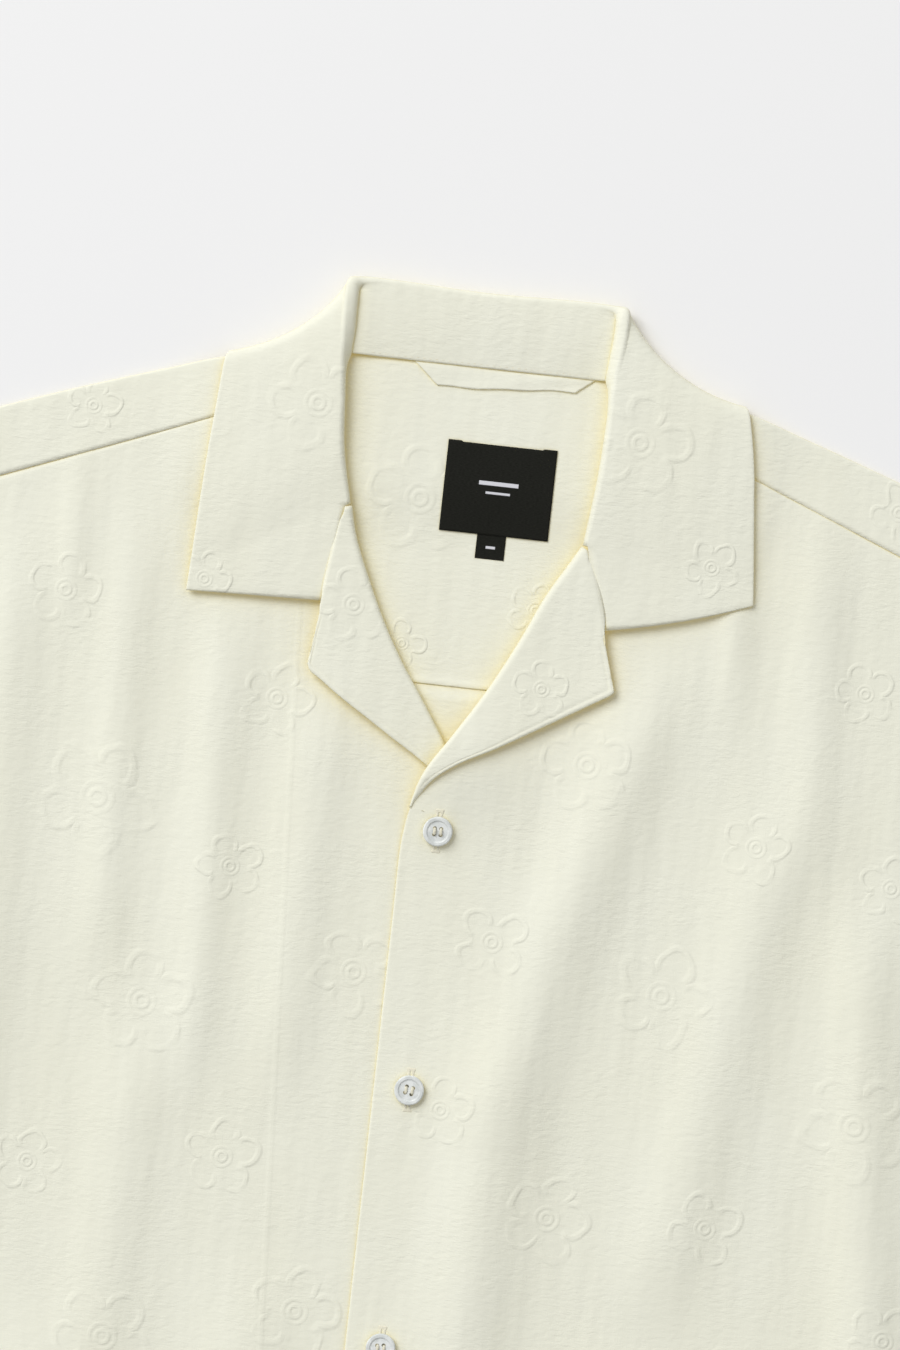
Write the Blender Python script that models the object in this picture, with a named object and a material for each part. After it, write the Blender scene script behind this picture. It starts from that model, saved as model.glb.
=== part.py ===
"""Camp collar shirt with short sleeves, laid flat on its back with its neck towards +Y.

Every cut piece is a cloth wall: a surface worked out from the sizes below, thickened by a
Solidify modifier. Sizes are in millimetres, with x = 0 on the button line, x growing towards
the wearer's left and y = 0 at the collar's back fold, and become metres in the meshes.
"""
import bpy
import bmesh
import numpy as np
from mathutils import Matrix, Vector

MM = 0.001

CLOTH = 1.0                      # thickness of one wall of cloth
SEAM_GAP = 0.4                   # air between two pieces that are sewn or lie on each other
LAYER = CLOTH + 0.35             # from one layer's middle to the next one's middle
SHELL_LIMIT = 1.3                # most that a layer moves out further at a sharp turn

SHOULDER_FOLD = ((50, -31.6), (64, -32.6), (84, -34.9), (110, -42.2), (135, -48.8),
                 (235, -82.5))   # |x|, y
ARMHOLE = ((-82.5, 235), (-97, 232.8), (-112, 231), (-140, 229.5), (-168, 230), (-200, 234.5),
           (-230, 243), (-255, 253), (-275, 262), (-290, 269.5), (-300, 275))   # y, |x|
SHOULDER_X = 235.0               # half width from shoulder point to shoulder point
UNDERARM_Y = -300.0
HEM_Y = -700.0
HEM_HALF_WIDTH = 268.0
YOKE_SEAM_Y = -168.0
NECK_SEAM_Y = -31.4
FRONT_EDGE = 15.0                # each front reaches this far past the button line
SLEEVE_HEM_TOP = (415.0, -208.0)
SLEEVE_HEM_UNDER = (328.0, -346.0)

LEAF_ZONE = dict(x_full=106.0, x_end=140.0, y_full=-80.0, y_end=-112.0)
LEAF_STACK = 2.7                 # the back rides this high over the collar leaf under it
NECK_PUFF = dict(height=0.7, x_full=120.0, x_end=175.0, y_full=-105.0, y_end=-150.0)
CLOSING = dict(x_full=18.0, x_end=52.0)   # where the overlapping front lies a layer higher
LAPEL_HUMP = dict(height=4.6, x=0.5, y=-201.0, spread=25.0)   # its rise over the other lapel

BACK_INSET = 1.5                 # the back's side edge lies inside the front's rim
SHOULDER_RISE = 0.9              # from the yoke's top edge to the crest of the shoulder fold
STRIP_NECK_X = {-1: 64.8, 1: 57.2}   # where each shoulder strip ends at the neck
FORWARD_SEAM = dict(x=75.0, y=-50.0, slope=-0.395, outer_x=231.5, neck_gap=0.6)
SIDE_RIM_WIDTH = 3.0
SIDE_RIM = (
    # x from the side at the armhole, x below it, drop below it: the edge curls round the back
    (-0.2, 0.1, 1.3),
    (-1.0, -0.2, 0.7),
    (-2.0, -1.2, 0.15),
)
STRAIGHT_EDGE_TOP = -262.0       # the front edges are straight from the hem to here
SIDE_TOP = -311.0                # side end of the row that meets the first lapel row
ARM_GAP = 0.6                    # from the body's armhole edge to the sleeve's
SLEEVE_BOW = 10.0                # sag of the sleeve's top fold
SLEEVE_PUFF = 0.9                # air in the sleeves, which keeps their folded edges round

FRONT_ARM_YS = (-299.8, -290, -275, -255, -230, -215, -200, -184, -168, -154, -140, -113)

# soft folds of the front layer: a line from (x0, y0) to (x1, y1), its half width and height
FRONT_FOLDS = (
    # x0, y0, x1, y1, half width, height
    (78, -175, 30, -445, 26, 2.6),
    (30, -445, 34, -660, 24, 1.6),
    (137, -80, 148, -215, 14, 1.8),
    (148, -215, 118, -420, 24, 2.0),
    (190, -120, 186, -300, 20, 1.6),
    (207, -320, 214, -640, 12, 2.8),
    (150, -470, 176, -690, 22, 2.0),
    (96, -430, 84, -640, 22, 1.6),
    (-64, -185, -58, -420, 22, 2.0),
    (-116, -180, -122, -420, 18, 1.8),
    (-178, -100, -172, -190, 12, 1.6),
    (-196, -170, -206, -430, 20, 2.2),
    (-150, -430, -160, -680, 24, 2.2),
    (-56, -430, -72, -660, 22, 1.8),
    (-226, -330, -232, -600, 16, 2.4),
    (262, -130, 330, -300, 18, 2.6),
    (330, -170, 372, -240, 14, 1.8),
    (-258, -140, -322, -300, 18, 2.4),
    (-318, -165, -370, -250, 16, 2.0),
)

# collar sections from the centre back to the gorge: where the stand's edge, the fold, the
# middle and the outer edge of the leaf lie; the leaf starts under the back and comes round
# the shoulder to the front
COLLAR_LEFT_PLAN = (
    # stand x, y, fold x, y, mid x, y, outer x, y
    (-3.5, -3.8, -3.5, -1.2, -3.5, -40, -3.5, -75),
    (-30, -3.2, -34, -0.6, -38, -40, -42, -76),
    (-47, -3.0, -54.5, -0.2, -66, -39, -78, -73),
    (-52.6, -3.3, -58.5, -0.2, -74, -37.5, -97, -58),
    (-55.4, -3.9, -60.6, -0.4, -79, -31.5, -106.3, -40.8),
    (-57.4, -5.2, -61.7, -1.2, -81.3, -27.8, -108, -38.4),
    (-58.5, -7.5, -62.2, -3, -83, -25.6, -109.4, -37.2),
    (-58.7, -11, -62.4, -6.2, -84.6, -26.8, -110.6, -38.2),
    (-58.8, -15.5, -62.4, -10.5, -86, -30, -111.6, -41.6),
    (-58.8, -23, -62.2, -19, -88, -40, -112.8, -58),
    (-59.2, -30.6, -61.6, -29, -88, -52, -114.1, -76),
    (-59.5, -33.2, -61.5, -32.4, -88, -55.4, -114.3, -79.6),
    (-61.2, -39, -60.8, -39, -87.5, -63, -114.8, -88),
    (-62.5, -50, -59.8, -50, -87, -77, -115.4, -101),
    (-60, -73.5, -57.6, -73, -86, -96, -116.2, -119),
    (-55.2, -94, -52.9, -93.4, -84, -112, -116.7, -130),
)
COLLAR_RIGHT_PLAN = (
    # stand x, y, fold x, y, mid x, y, outer x, y
    (-3.5, -3.8, -3.5, -1.2, -3.5, -40, -3.5, -75),
    (23, -3.5, 27, -0.9, 31, -40, 35, -76),
    (39.5, -3.4, 46.5, -0.8, 58, -39, 71, -73),
    (45.4, -3.8, 51.4, -0.8, 69, -38.0, 92, -59),
    (48.4, -4.4, 53.8, -0.9, 75.5, -31.6, 105.6, -40.4),
    (50.6, -5.7, 54.9, -1.7, 78.8, -28.8, 108, -37.9),
    (51.7, -8.0, 55.4, -3.5, 81, -27.4, 109.5, -36.9),
    (51.9, -11.5, 55.4, -6.8, 82.8, -28.8, 111, -38),
    (51.8, -16, 55.3, -11, 84.4, -33.0, 112.3, -41.8),
    (51.2, -23.5, 54.5, -19.5, 86, -42, 114.8, -54),
    (50.6, -30.6, 53.0, -29, 86, -52, 116.8, -67),
    (50.9, -33.2, 52.8, -32.4, 86.2, -54.6, 117.1, -70),
    (53.2, -39, 52.4, -39, 86.5, -61, 117.8, -77),
    (55.2, -50, 52.6, -50, 87, -72, 118.8, -86),
    (54, -74, 51.4, -74, 88, -90, 120.4, -101),
    (51.2, -100.6, 48.7, -99.8, 88, -108, 121.6, -112),
)
COLLAR_HEIGHTS = (
    # stand below the fold, fold, leaf past it, leaf middle, leaf edge, leaf inset, rise
    (6.2, 3.9, 1.6, 1.35, 1.3, 2.4, 0.0),
    (6.2, 3.9, 1.6, 1.35, 1.3, 2.4, 0.0),
    (6.4, 4.3, 1.65, 1.35, 1.3, 2.5, 0.1),
    (6.4, 5.2, 2.1, 1.35, 1.3, 2.6, 0.3),
    (6.3, 6.6, 3.0, 1.4, 1.3, 2.6, 0.5),
    (6.1, 8.2, 4.6, 2.2, 2.0, 2.6, 0.7),
    (5.9, 9.4, 6.6, 4.9, 4.25, 2.6, 0.8),
    (5.7, 10.0, 8.2, 7.2, 6.4, 2.6, 0.9),
    (5.5, 10.3, 9.2, 8.5, 7.4, 2.6, 0.9),
    (5.3, 10.4, 10.0, 9.1, 7.5, 2.6, 0.75),
    (5.1, 9.8, 10.4, 9.3, 7.4, 2.5, 0.75),
    (5.0, 9.5, 10.5, 9.3, 7.3, 2.5, 0.6),
    (5.0, 8.9, 10.6, 9.2, 7.2, 2.5, 0.4),
    (5.2, 8.0, 10.4, 9.0, 6.9, 2.4, 0.0),
    (5.2, 7.5, 9.8, 8.0, 6.2, 2.3, 0.0),
    (4.6, 6.4, 8.4, 6.5, 5.4, 2.0, 0.0),
)
STAND_CORNER = 10                # section where the stand's end meets the neck seam
STAND_END = 6                    # section where the stand's end meets the back fold
STAND_NECK = dict(height=4.0, rise=1.0, x_low=30.0, x_high=54.0)
ARC_PULL = 1.17                  # fullness of the collar's roll
# end of each leaf below the gorge: seam to the lapel, middle and outer edge
COLLAR_LEFT_END = (
    # seam x, y, z, mid x, y, z, outer x, y, z
    (-57.4, -118, 6.4, -85, -127, 5.8, -117.0, -136, 5.2),
    (-59.6, -137.7, 5.7, -87, -138.6, 5.4, -117.1, -139.5, 5.0),
)
COLLAR_RIGHT_END = (
    # seam x, y, z, mid x, y, z, outer x, y, z
    (55.6, -119.6, 6.4, 90, -120.5, 5.8, 122.1, -117, 5.2),
    (60.8, -137.6, 5.7, 91.5, -130.4, 5.4, 122.3, -120, 5.0),
)

# fronts: roll line and free edge of the lapel from the break up to the gorge and the tip
LAPEL_LEFT = (
    # roll x, y, edge x, y, roll radius
    (4.5, -205, -0.4, -207.6, 0.9),
    (-1.8, -193.1, -12, -199.4, 1.1),
    (-13.6, -175.1, -25, -191.4, 1.3),
    (-24, -160, -37, -183.8, 1.5),
    (-34, -142.6, -47.5, -177.2, 1.7),
    (-43, -123.6, -56, -171.2, 1.9),
    (-48.9, -109.4, -61, -167.8, 2.0),
    (-52.2, -96.6, -62.6, -164.8, 2.0),
)
LAPEL_RIGHT = (
    # roll x, y, edge x, y, roll radius
    (-12.5, -222.4, -8.8, -224.4, 0.9),
    (-6.2, -209.4, 4.0, -209.2, 1.1),
    (2.6, -187.4, 22.9, -195.5, 1.3),
    (15.5, -167.7, 38.5, -184.6, 1.5),
    (26.5, -146, 51, -176.2, 1.7),
    (35.2, -126.4, 60.5, -169.4, 1.9),
    (42.6, -113.4, 66, -165.4, 2.0),
    (48.3, -103.4, 67.8, -162.8, 2.0),
)
# neck edge of each front from the gorge up to the shoulder seam
NECK_EDGE_LEFT = ((-56.1, -94.6), (-60.9, -73.8), (-63.4, -51.2), (-64.2, -46.4))
NECK_EDGE_RIGHT = ((52.1, -101.2), (54.9, -74.4), (56.1, -51.2), (56.4, -43.4))
LAPEL_TIP_LIFT = 2.3             # the free edge of a lapel lies this high over the front

BUTTON_YS = (-229.5, -340.0, -450.0, -560.0)
BUTTON = dict(radius=6.35, thickness=2.4, corner=0.5, rim_width=1.5, dish=0.5,
              dish_slope=0.6, hole_radius=0.85, hole_spacing=2.7, gap=0.45)
LABEL = dict(x=(-13.6, 32.9), y=(-102.4, -64.2), thickness=0.8)
SIZE_TAG = dict(x=(2.8, 15.2), y=(-112.6, -102.9), thickness=0.8)
HANGER = dict(top_x=(-31.9, 46.0), top_y=-32.2, low_x=(-21.0, 37.6), low_y=(-41.6, -38.8))
TRIM_GAP = 0.55                  # from the yoke to the label and the size tag

CREAM = (0.80, 0.78, 0.64, 1.0)


def smooth(start, end, x):
    """0 before start, 1 after end, and a soft S between them."""
    t = np.clip((np.asarray(x, float) - start) / (end - start), 0.0, 1.0)
    return t * t * (3.0 - 2.0 * t)


def from_table(table, x):
    """Reads a two-column table at x, with straight lines between its rows."""
    columns = np.array(sorted(table), float)
    return np.interp(x, columns[:, 0], columns[:, 1])


def side_x(y):
    """Half width of the body at y: the armhole above the underarm, the side seam below."""
    y = np.asarray(y, float)
    seam = np.interp(y, (HEM_Y, UNDERARM_Y), (HEM_HALF_WIDTH, ARMHOLE[-1][1]))
    return np.where(y > UNDERARM_Y, from_table(ARMHOLE, y), seam)


def back_height(x, y):
    """Middle of the back layer: flat on the table, lifted where the collar leaf lies below."""
    zone = LEAF_ZONE
    across = 1.0 - smooth(zone["x_full"], zone["x_end"], np.abs(x))
    along = smooth(zone["y_end"], zone["y_full"], y)
    return CLOTH / 2 + LEAF_STACK * across * along


def folds(x, y):
    """Sum of soft ridges along the lines of FRONT_FOLDS, fading at both ends."""
    x, y = np.asarray(x, float), np.asarray(y, float)
    total = np.zeros(np.broadcast(x, y).shape)
    for x0, y0, x1, y1, width, height in FRONT_FOLDS:
        run = np.hypot(x1 - x0, y1 - y0)
        along = ((x - x0) * (x1 - x0) + (y - y0) * (y1 - y0)) / run
        across = ((x - x0) * (y1 - y0) - (y - y0) * (x1 - x0)) / run
        ends = smooth(-25, 35, along) * (1 - smooth(run - 35, run + 25, along))
        total = total + height * ends * np.exp(-(across / width) ** 2)
    hem_fade = smooth(HEM_Y, HEM_Y + 60, y)
    return total * (0.5 + 0.5 * hem_fade)


def front_height(x, y):
    """Middle of the front layer, one layer over the back plus its soft folds."""
    across = 1 - smooth(NECK_PUFF["x_full"], NECK_PUFF["x_end"], np.abs(x))
    along = smooth(NECK_PUFF["y_end"], NECK_PUFF["y_full"], y)
    return back_height(x, y) + LAYER + NECK_PUFF["height"] * across * along + folds(x, y)


def right_lift(x, y):
    """What the overlapping front adds: a layer near its edge, and the left lapel's stack."""
    band = LAYER * (1 - smooth(CLOSING["x_full"], CLOSING["x_end"], x))
    away = np.hypot(x - LAPEL_HUMP["x"], y - LAPEL_HUMP["y"]) / LAPEL_HUMP["spread"]
    return band + LAPEL_HUMP["height"] * np.exp(-away ** 2)


def left_height(x, y):
    """Middle of the front that lies below at the closing."""
    return front_height(x, y)


def right_height(x, y):
    """Middle of the front that lies on top at the closing."""
    return front_height(x, y) + right_lift(x, y)


def surface(x, y, z):
    """A grid of points (rows, columns, 3) from three arrays that broadcast together."""
    return np.stack(np.broadcast_arrays(x, y, z), axis=-1).astype(float)


def between(start, end, count):
    """Rows of points from start to end: count columns between two lists of points."""
    t = np.linspace(0.0, 1.0, count)[None, :, None]
    return start[:, None, :] * (1 - t) + end[:, None, :] * t


def material(name, colour, roughness):
    made = bpy.data.materials.new(name)
    made.use_nodes = True
    shader = made.node_tree.nodes["Principled BSDF"]
    shader.inputs["Base Color"].default_value = colour
    shader.inputs["Roughness"].default_value = roughness
    return made


def cloth(name, patches, thickness=CLOTH, layer=0.0, colour=CREAM):
    """One cloth piece: its patches joined where their points meet, moved out along the
    normals by layer, and thickened equally to both sides."""
    points, faces, start = [], [], 0
    for patch in patches:
        rows, columns = patch.shape[:2]
        index = np.arange(rows * columns).reshape(rows, columns) + start
        quads = np.stack([index[:-1, :-1], index[1:, :-1], index[1:, 1:], index[:-1, 1:]], -1)
        points.append(patch.reshape(-1, 3))
        faces.append(quads.reshape(-1, 4))
        start += rows * columns
    mesh = bpy.data.meshes.new(name)
    mesh.from_pydata((np.concatenate(points) * MM).tolist(), [],
                     np.concatenate(faces).tolist())
    build = bmesh.new()
    build.from_mesh(mesh)
    bmesh.ops.remove_doubles(build, verts=build.verts, dist=2e-6)
    build.normal_update()
    shifts = [vertex.normal * (layer * MM * min(vertex.calc_shell_factor(), SHELL_LIMIT))
              for vertex in build.verts]
    for vertex, shift in zip(build.verts, shifts):
        vertex.co += shift
    build.to_mesh(mesh)
    build.free()
    piece = bpy.data.objects.new(name, mesh)
    bpy.context.scene.collection.objects.link(piece)
    mesh.materials.append(material(name, colour, 0.85))
    wall = piece.modifiers.new("cloth", "SOLIDIFY")
    wall.thickness = thickness * MM
    wall.offset = 0.0
    wall.use_quality_normals = True
    return piece


def make_back():
    """Back below the yoke seam, flat on the table."""
    arm_y = [row[0] for row in ARMHOLE[::-1] if row[0] < YOKE_SEAM_Y]
    y = np.concatenate([np.linspace(HEM_Y, UNDERARM_Y, 9), arm_y[1:],
                        [YOKE_SEAM_Y - SEAM_GAP]])[:, None]
    inset = BACK_INSET * (1 - smooth(UNDERARM_Y, UNDERARM_Y + 30, y))
    x = (side_x(y) - inset) * np.linspace(-1, 1, 15)[None, :]
    return cloth("back", [surface(x, y, CLOTH / 2)])


def strip_columns(side):
    """Columns of the yoke on one side, from the neck to the armhole, as |x| at the fold."""
    neck = STRIP_NECK_X[side]
    return np.array([neck, 75, 85, 97, 110, 130, 155, 185, 211, SHOULDER_X])


def make_yoke():
    """Yoke: its back part, and on each shoulder a strip folded over to the front seam."""
    left, right = strip_columns(-1), strip_columns(1)
    neck = np.linspace(-left[0], right[0], 9)[1:-1]
    top_x = np.concatenate([-left[::-1], neck, right])
    fold_y = from_table(SHOULDER_FOLD, np.abs(top_x))
    top_y = np.where((top_x > -left[0]) & (top_x < right[0]), NECK_SEAM_Y,
                     fold_y - SHOULDER_RISE)
    v = np.array([0, 0.18, 0.36, 0.5, 0.62, 0.74, 0.87, 1.0])[:, None]
    y = YOKE_SEAM_Y + (top_y - YOKE_SEAM_Y) * v
    x = top_x * (1 + (side_x(y) / SHOULDER_X - 1) * np.abs(top_x) / SHOULDER_X)
    back = surface(x, y, back_height(x, y))
    patches = [back]
    for side, columns in ((-1, slice(0, len(left))), (1, slice(-len(right), None))):
        patches.append(shoulder_strip(side, back[-1, columns], fold_y[columns]))
    return cloth("yoke", patches)


def shoulder_strip(side, low, fold_y):
    """From the yoke's shoulder line over the fold and down to the forward shoulder seam."""
    x = low[:, 0]
    seam = FORWARD_SEAM
    seam_x = side * np.interp(np.abs(x), (STRIP_NECK_X[side], SHOULDER_X),
                              (STRIP_NECK_X[side] - seam["neck_gap"], seam["outer_x"]))
    seam_y = seam["y"] + seam["slope"] * (np.abs(seam_x) - seam["x"])
    y_high = fold_y - SHOULDER_RISE
    high = surface(x, y_high, front_height(x, y_high))
    crest = surface(x, fold_y, (low[:, 2] + high[:, 2]) / 2)
    flat_x = x + (seam_x - x) * 0.5
    flat_y = y_high + (seam_y - y_high) * 0.5
    flat = surface(flat_x, flat_y, front_height(flat_x, flat_y))
    edge = surface(seam_x, seam_y, front_height(seam_x, seam_y))
    return np.stack([low, crest, high, flat, edge])


def body_outer(side, y):
    """Outer edge of a front: at the armhole flat, below it curled down round the back."""
    x = side_x(y)
    curl = 1 - smooth(UNDERARM_Y - 8, UNDERARM_Y, y)
    return x, curl


def roll_points(table, side, height):
    """For each lapel row: body edge, arc and lapel start, as half an ellipse at the roll."""
    rows = np.array(table, float)
    roll, radius = rows[:, 0:2], rows[:, 4:5]
    tangent = np.gradient(roll, axis=0)
    tangent /= np.linalg.norm(tangent, axis=1, keepdims=True)
    outward = np.stack([tangent[:, 1], -tangent[:, 0]], axis=1) * side
    inset = roll + outward * radius
    low = height(inset[:, 0], inset[:, 1])[:, None]
    angle = np.radians(np.linspace(90, -90, 7))[None, :]
    xy = inset[:, None, :] - (outward * radius)[:, None, :] * np.cos(angle)[..., None]
    z = low + radius * (1 - np.sin(angle))
    return np.concatenate([xy, z[..., None]], axis=-1)


def lapel_patch(table, side, height):
    """Roll arc and turned lapel: columns run from the body round the roll to the free edge."""
    arc = roll_points(table, side, height)
    rows = np.array(table, float)
    start, edge, radius = arc[:, -1, :2], rows[:, 2:4], rows[:, 4:5]
    v = np.linspace(0, 1, 6)[None, 1:]
    xy = start[:, None, :] * (1 - v[..., None]) + edge[:, None, :] * v[..., None]
    z = height(xy[..., 0], xy[..., 1]) + 2 * radius * (1 - v) + LAPEL_TIP_LIFT * v
    return np.concatenate([arc, np.concatenate([xy, z[..., None]], axis=-1)], axis=1)


def front_body(side, lapel, neck_edge, break_points, height):
    """Body of a front: straight rows from the side to the front edge, roll and neck edge."""
    hem_edge = -side * FRONT_EDGE
    straight = np.linspace(HEM_Y, STRAIGHT_EDGE_TOP, 10)
    below = [(hem_edge, y) for y in straight] + list(break_points)
    roll = [tuple(point) for point in lapel[:, 0, :2]]
    inner = np.array(below + roll + list(neck_edge), float)
    n_below, n_roll = len(below), len(roll)
    outer_y = np.concatenate([np.linspace(HEM_Y, SIDE_TOP, n_below), FRONT_ARM_YS])
    outer_x, curl = body_outer(side, outer_y)
    t = np.concatenate([np.linspace(0, 0.97, 19), [1.0]])[None, :]
    flat_x = side * (outer_x - SIDE_RIM_WIDTH)
    x = flat_x[:, None] * (1 - t) + inner[:, :1] * t
    y = outer_y[:, None] * (1 - t) + inner[:, 1:] * t
    body = surface(x, y, height(x, y))
    body[n_below:n_below + n_roll, -1] = lapel[:, 0]
    rim = []
    for flat, curled, drop in SIDE_RIM:
        rim_x = side * (outer_x + flat + (curled - flat) * curl)
        rim.append(surface(rim_x, outer_y, height(rim_x, outer_y) - drop * curl))
    return np.concatenate([np.stack(rim, axis=1), body], axis=1)


def make_front(name, side, lapel_table, neck_edge, break_points, height):
    """A front and its turned lapel in one piece, and the facing that shows on the lapel."""
    lapel = lapel_patch(lapel_table, side, height)
    body = front_body(side, lapel, neck_edge, break_points, height)
    facing = lapel[:, 3:]
    if side > 0:
        body, lapel, facing = body[::-1], lapel[::-1], facing[::-1]
    cloth("front_" + name, [body, lapel])
    cloth("facing_" + name, [facing], layer=LAYER)


def collar_band():
    """The roll and leaf as sections from gorge to gorge, the stand inside the back of the
    neck, whose short sides run up to the roll, and the end of each leaf below the gorge."""
    plan = np.array(COLLAR_LEFT_PLAN[:0:-1] + COLLAR_RIGHT_PLAN, float)
    heights = np.array(COLLAR_HEIGHTS[:0:-1] + COLLAR_HEIGHTS, float)
    stand, fold, mid, outer = (plan[:, i:i + 2] for i in (0, 2, 4, 6))
    leaf = fold + heights[:, 5:6] * (mid - fold) / np.linalg.norm(mid - fold, axis=1,
                                                                  keepdims=True)
    stand, fold, leaf, mid, outer = (
        np.concatenate([xy, heights[:, i:i + 1]], axis=1)
        for i, xy in enumerate((stand, fold, leaf, mid, outer)))
    roll = np.concatenate([roll_arc(stand, fold, leaf, mid, heights[:, 6:7]),
                           leaf_columns(leaf, mid, outer)[:, 1:]], axis=1)
    ends = []
    for table, row, step in ((COLLAR_LEFT_END, 0, -1), (COLLAR_RIGHT_END, -1, 1)):
        values = np.array(table, float)
        end = leaf_columns(values[:, 0:3], values[:, 3:6], values[:, 6:9])
        strip = np.concatenate([roll[row, -end.shape[1]:][None], end])
        ends.append(strip[::step])
    return [roll, stand_patch(stand)] + ends


def stand_patch(stand):
    """The collar stand behind the neck, between the neck seam and the roll's lower edge."""
    last = len(COLLAR_LEFT_PLAN) - 1
    left = stand[last - STAND_CORNER:last - STAND_END + 1]
    right = stand[last + STAND_END:last + STAND_CORNER + 1][::-1]
    top = stand[last - STAND_END:last + STAND_END + 1]
    x = (top[:, 0] + np.linspace(left[0, 0], right[0, 0], len(top))) / 2
    rise = smooth(STAND_NECK["x_low"], STAND_NECK["x_high"], np.abs(x))
    neck = surface(x, NECK_SEAM_Y + 0.5, STAND_NECK["height"] + STAND_NECK["rise"] * rise)
    share = ((left[:, 1] - left[0, 1]) / (left[-1, 1] - left[0, 1]))[None, :, None]
    patch = neck[:, None] * (1 - share) + top[:, None] * share
    patch[0], patch[-1] = left, right
    return patch


def unit(vectors):
    return vectors / np.linalg.norm(vectors, axis=-1, keepdims=True)


def roll_arc(stand, fold, leaf, mid, rise):
    """Seven columns over the roll: smooth curves from the stand to the fold and the leaf.
    rise turns the start from level to straight up."""
    level = unit(leaf - mid) * [1, 1, 0]
    start_way = unit(level * (1 - rise) + np.array([0, 0, 1.0]) * rise)
    crest_way = unit(unit(fold - stand) + unit(leaf - fold))
    end_way = unit(mid - leaf)
    first = hermite(stand, fold, start_way, crest_way)
    second = hermite(fold, leaf, crest_way, end_way)
    return np.concatenate([first, second[:, 1:]], axis=1)


def hermite(start, end, start_way, end_way, count=4):
    """Cubic curves between rows of points, leaving and arriving along the given ways."""
    t = np.linspace(0, 1, count)[None, :, None]
    pull = ARC_PULL * np.linalg.norm(end - start, axis=1)[:, None, None]
    return ((2 * t ** 3 - 3 * t ** 2 + 1) * start[:, None]
            + (t ** 3 - 2 * t ** 2 + t) * pull * start_way[:, None]
            + (3 * t ** 2 - 2 * t ** 3) * end[:, None]
            + (t ** 3 - t ** 2) * pull * end_way[:, None])


def leaf_columns(start, mid, end, count=6):
    """Smooth rows through three points each: start, middle and outer edge of the leaf."""
    v = np.linspace(0, 1, count)[None, :, None]
    return (start[:, None] * (1 - v) * (1 - 2 * v) + mid[:, None] * 4 * v * (1 - v)
            + end[:, None] * v * (2 * v - 1))


def make_collar():
    """Upper collar on the outer side of the turn, under collar on the inner side."""
    patches = collar_band()
    cloth("collar_upper", patches, layer=LAYER / 2)
    cloth("collar_under", patches, layer=-LAYER / 2)


def make_sleeve(name, side):
    """Short sleeve: flattened rings from the armhole to the hem."""
    s = np.linspace(0, 1, 9)[:, None, None]
    arm_y = np.array([row[0] for row in ARMHOLE])
    arm_y = np.concatenate([arm_y[:1], arm_y[:1] - 1.5, arm_y[1:-1], arm_y[-1:] + 1.2,
                            arm_y[-1:]])
    v = (arm_y - arm_y[0]) / (arm_y[-1] - arm_y[0])
    arm = np.stack([from_table(ARMHOLE, arm_y) + ARM_GAP, arm_y], axis=1)[None]
    hem = (np.array(SLEEVE_HEM_TOP) * (1 - v[:, None])
           + np.array(SLEEVE_HEM_UNDER) * v[:, None])[None]
    bow = s * (1 - s) * np.array([0.0, -SLEEVE_BOW]) * (1 - v[None, :, None])
    plan = arm * (1 - s) + hem * s + bow
    x, y = plan[..., 0] * side, plan[..., 1]
    top_z = front_height(x, y) + SLEEVE_PUFF
    low_z = np.full_like(top_z, CLOTH / 2)
    edge = (v == 0) | (v == 1)
    near = (v == v[1]) | (v == v[-2])
    mean = (top_z + low_z) / 2
    top_z = np.where(edge, mean, np.where(near, top_z - 0.15, top_z))
    top = surface(x, y, top_z)
    low = surface(x, y, low_z)[:, 1:-1][:, ::-1]
    ring = np.concatenate([top, low, top[:, :1]], axis=1)
    return cloth(name, [ring])


def on_yoke(x, y, lift):
    return surface(x, y, back_height(x, y) + lift)


def make_trims():
    """Neck label, size tag and hanger loop, each laid on the inside of the yoke."""
    for name, size in (("neck_label", LABEL), ("size_tag", SIZE_TAG)):
        x = np.linspace(*size["x"], 5)[None, :]
        y = np.linspace(*size["y"], 6)[:, None]
        lift = CLOTH / 2 + TRIM_GAP + size["thickness"] / 2
        cloth(name, [on_yoke(x, y, lift)], size["thickness"], colour=(0.011, 0.012, 0.01, 1))
    v = np.linspace(0, 1, 3)[:, None]
    u = np.linspace(0, 1, 7)[None, :]
    top = HANGER["top_x"][0] + (HANGER["top_x"][1] - HANGER["top_x"][0]) * u
    low = HANGER["low_x"][0] + (HANGER["low_x"][1] - HANGER["low_x"][0]) * u
    low_y = HANGER["low_y"][0] + (HANGER["low_y"][1] - HANGER["low_y"][0]) * u
    x = top * (1 - v) + low * v
    y = HANGER["top_y"] * (1 - v) + low_y * v
    cloth("hanger_loop", [on_yoke(x, y, LAYER)])


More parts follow.
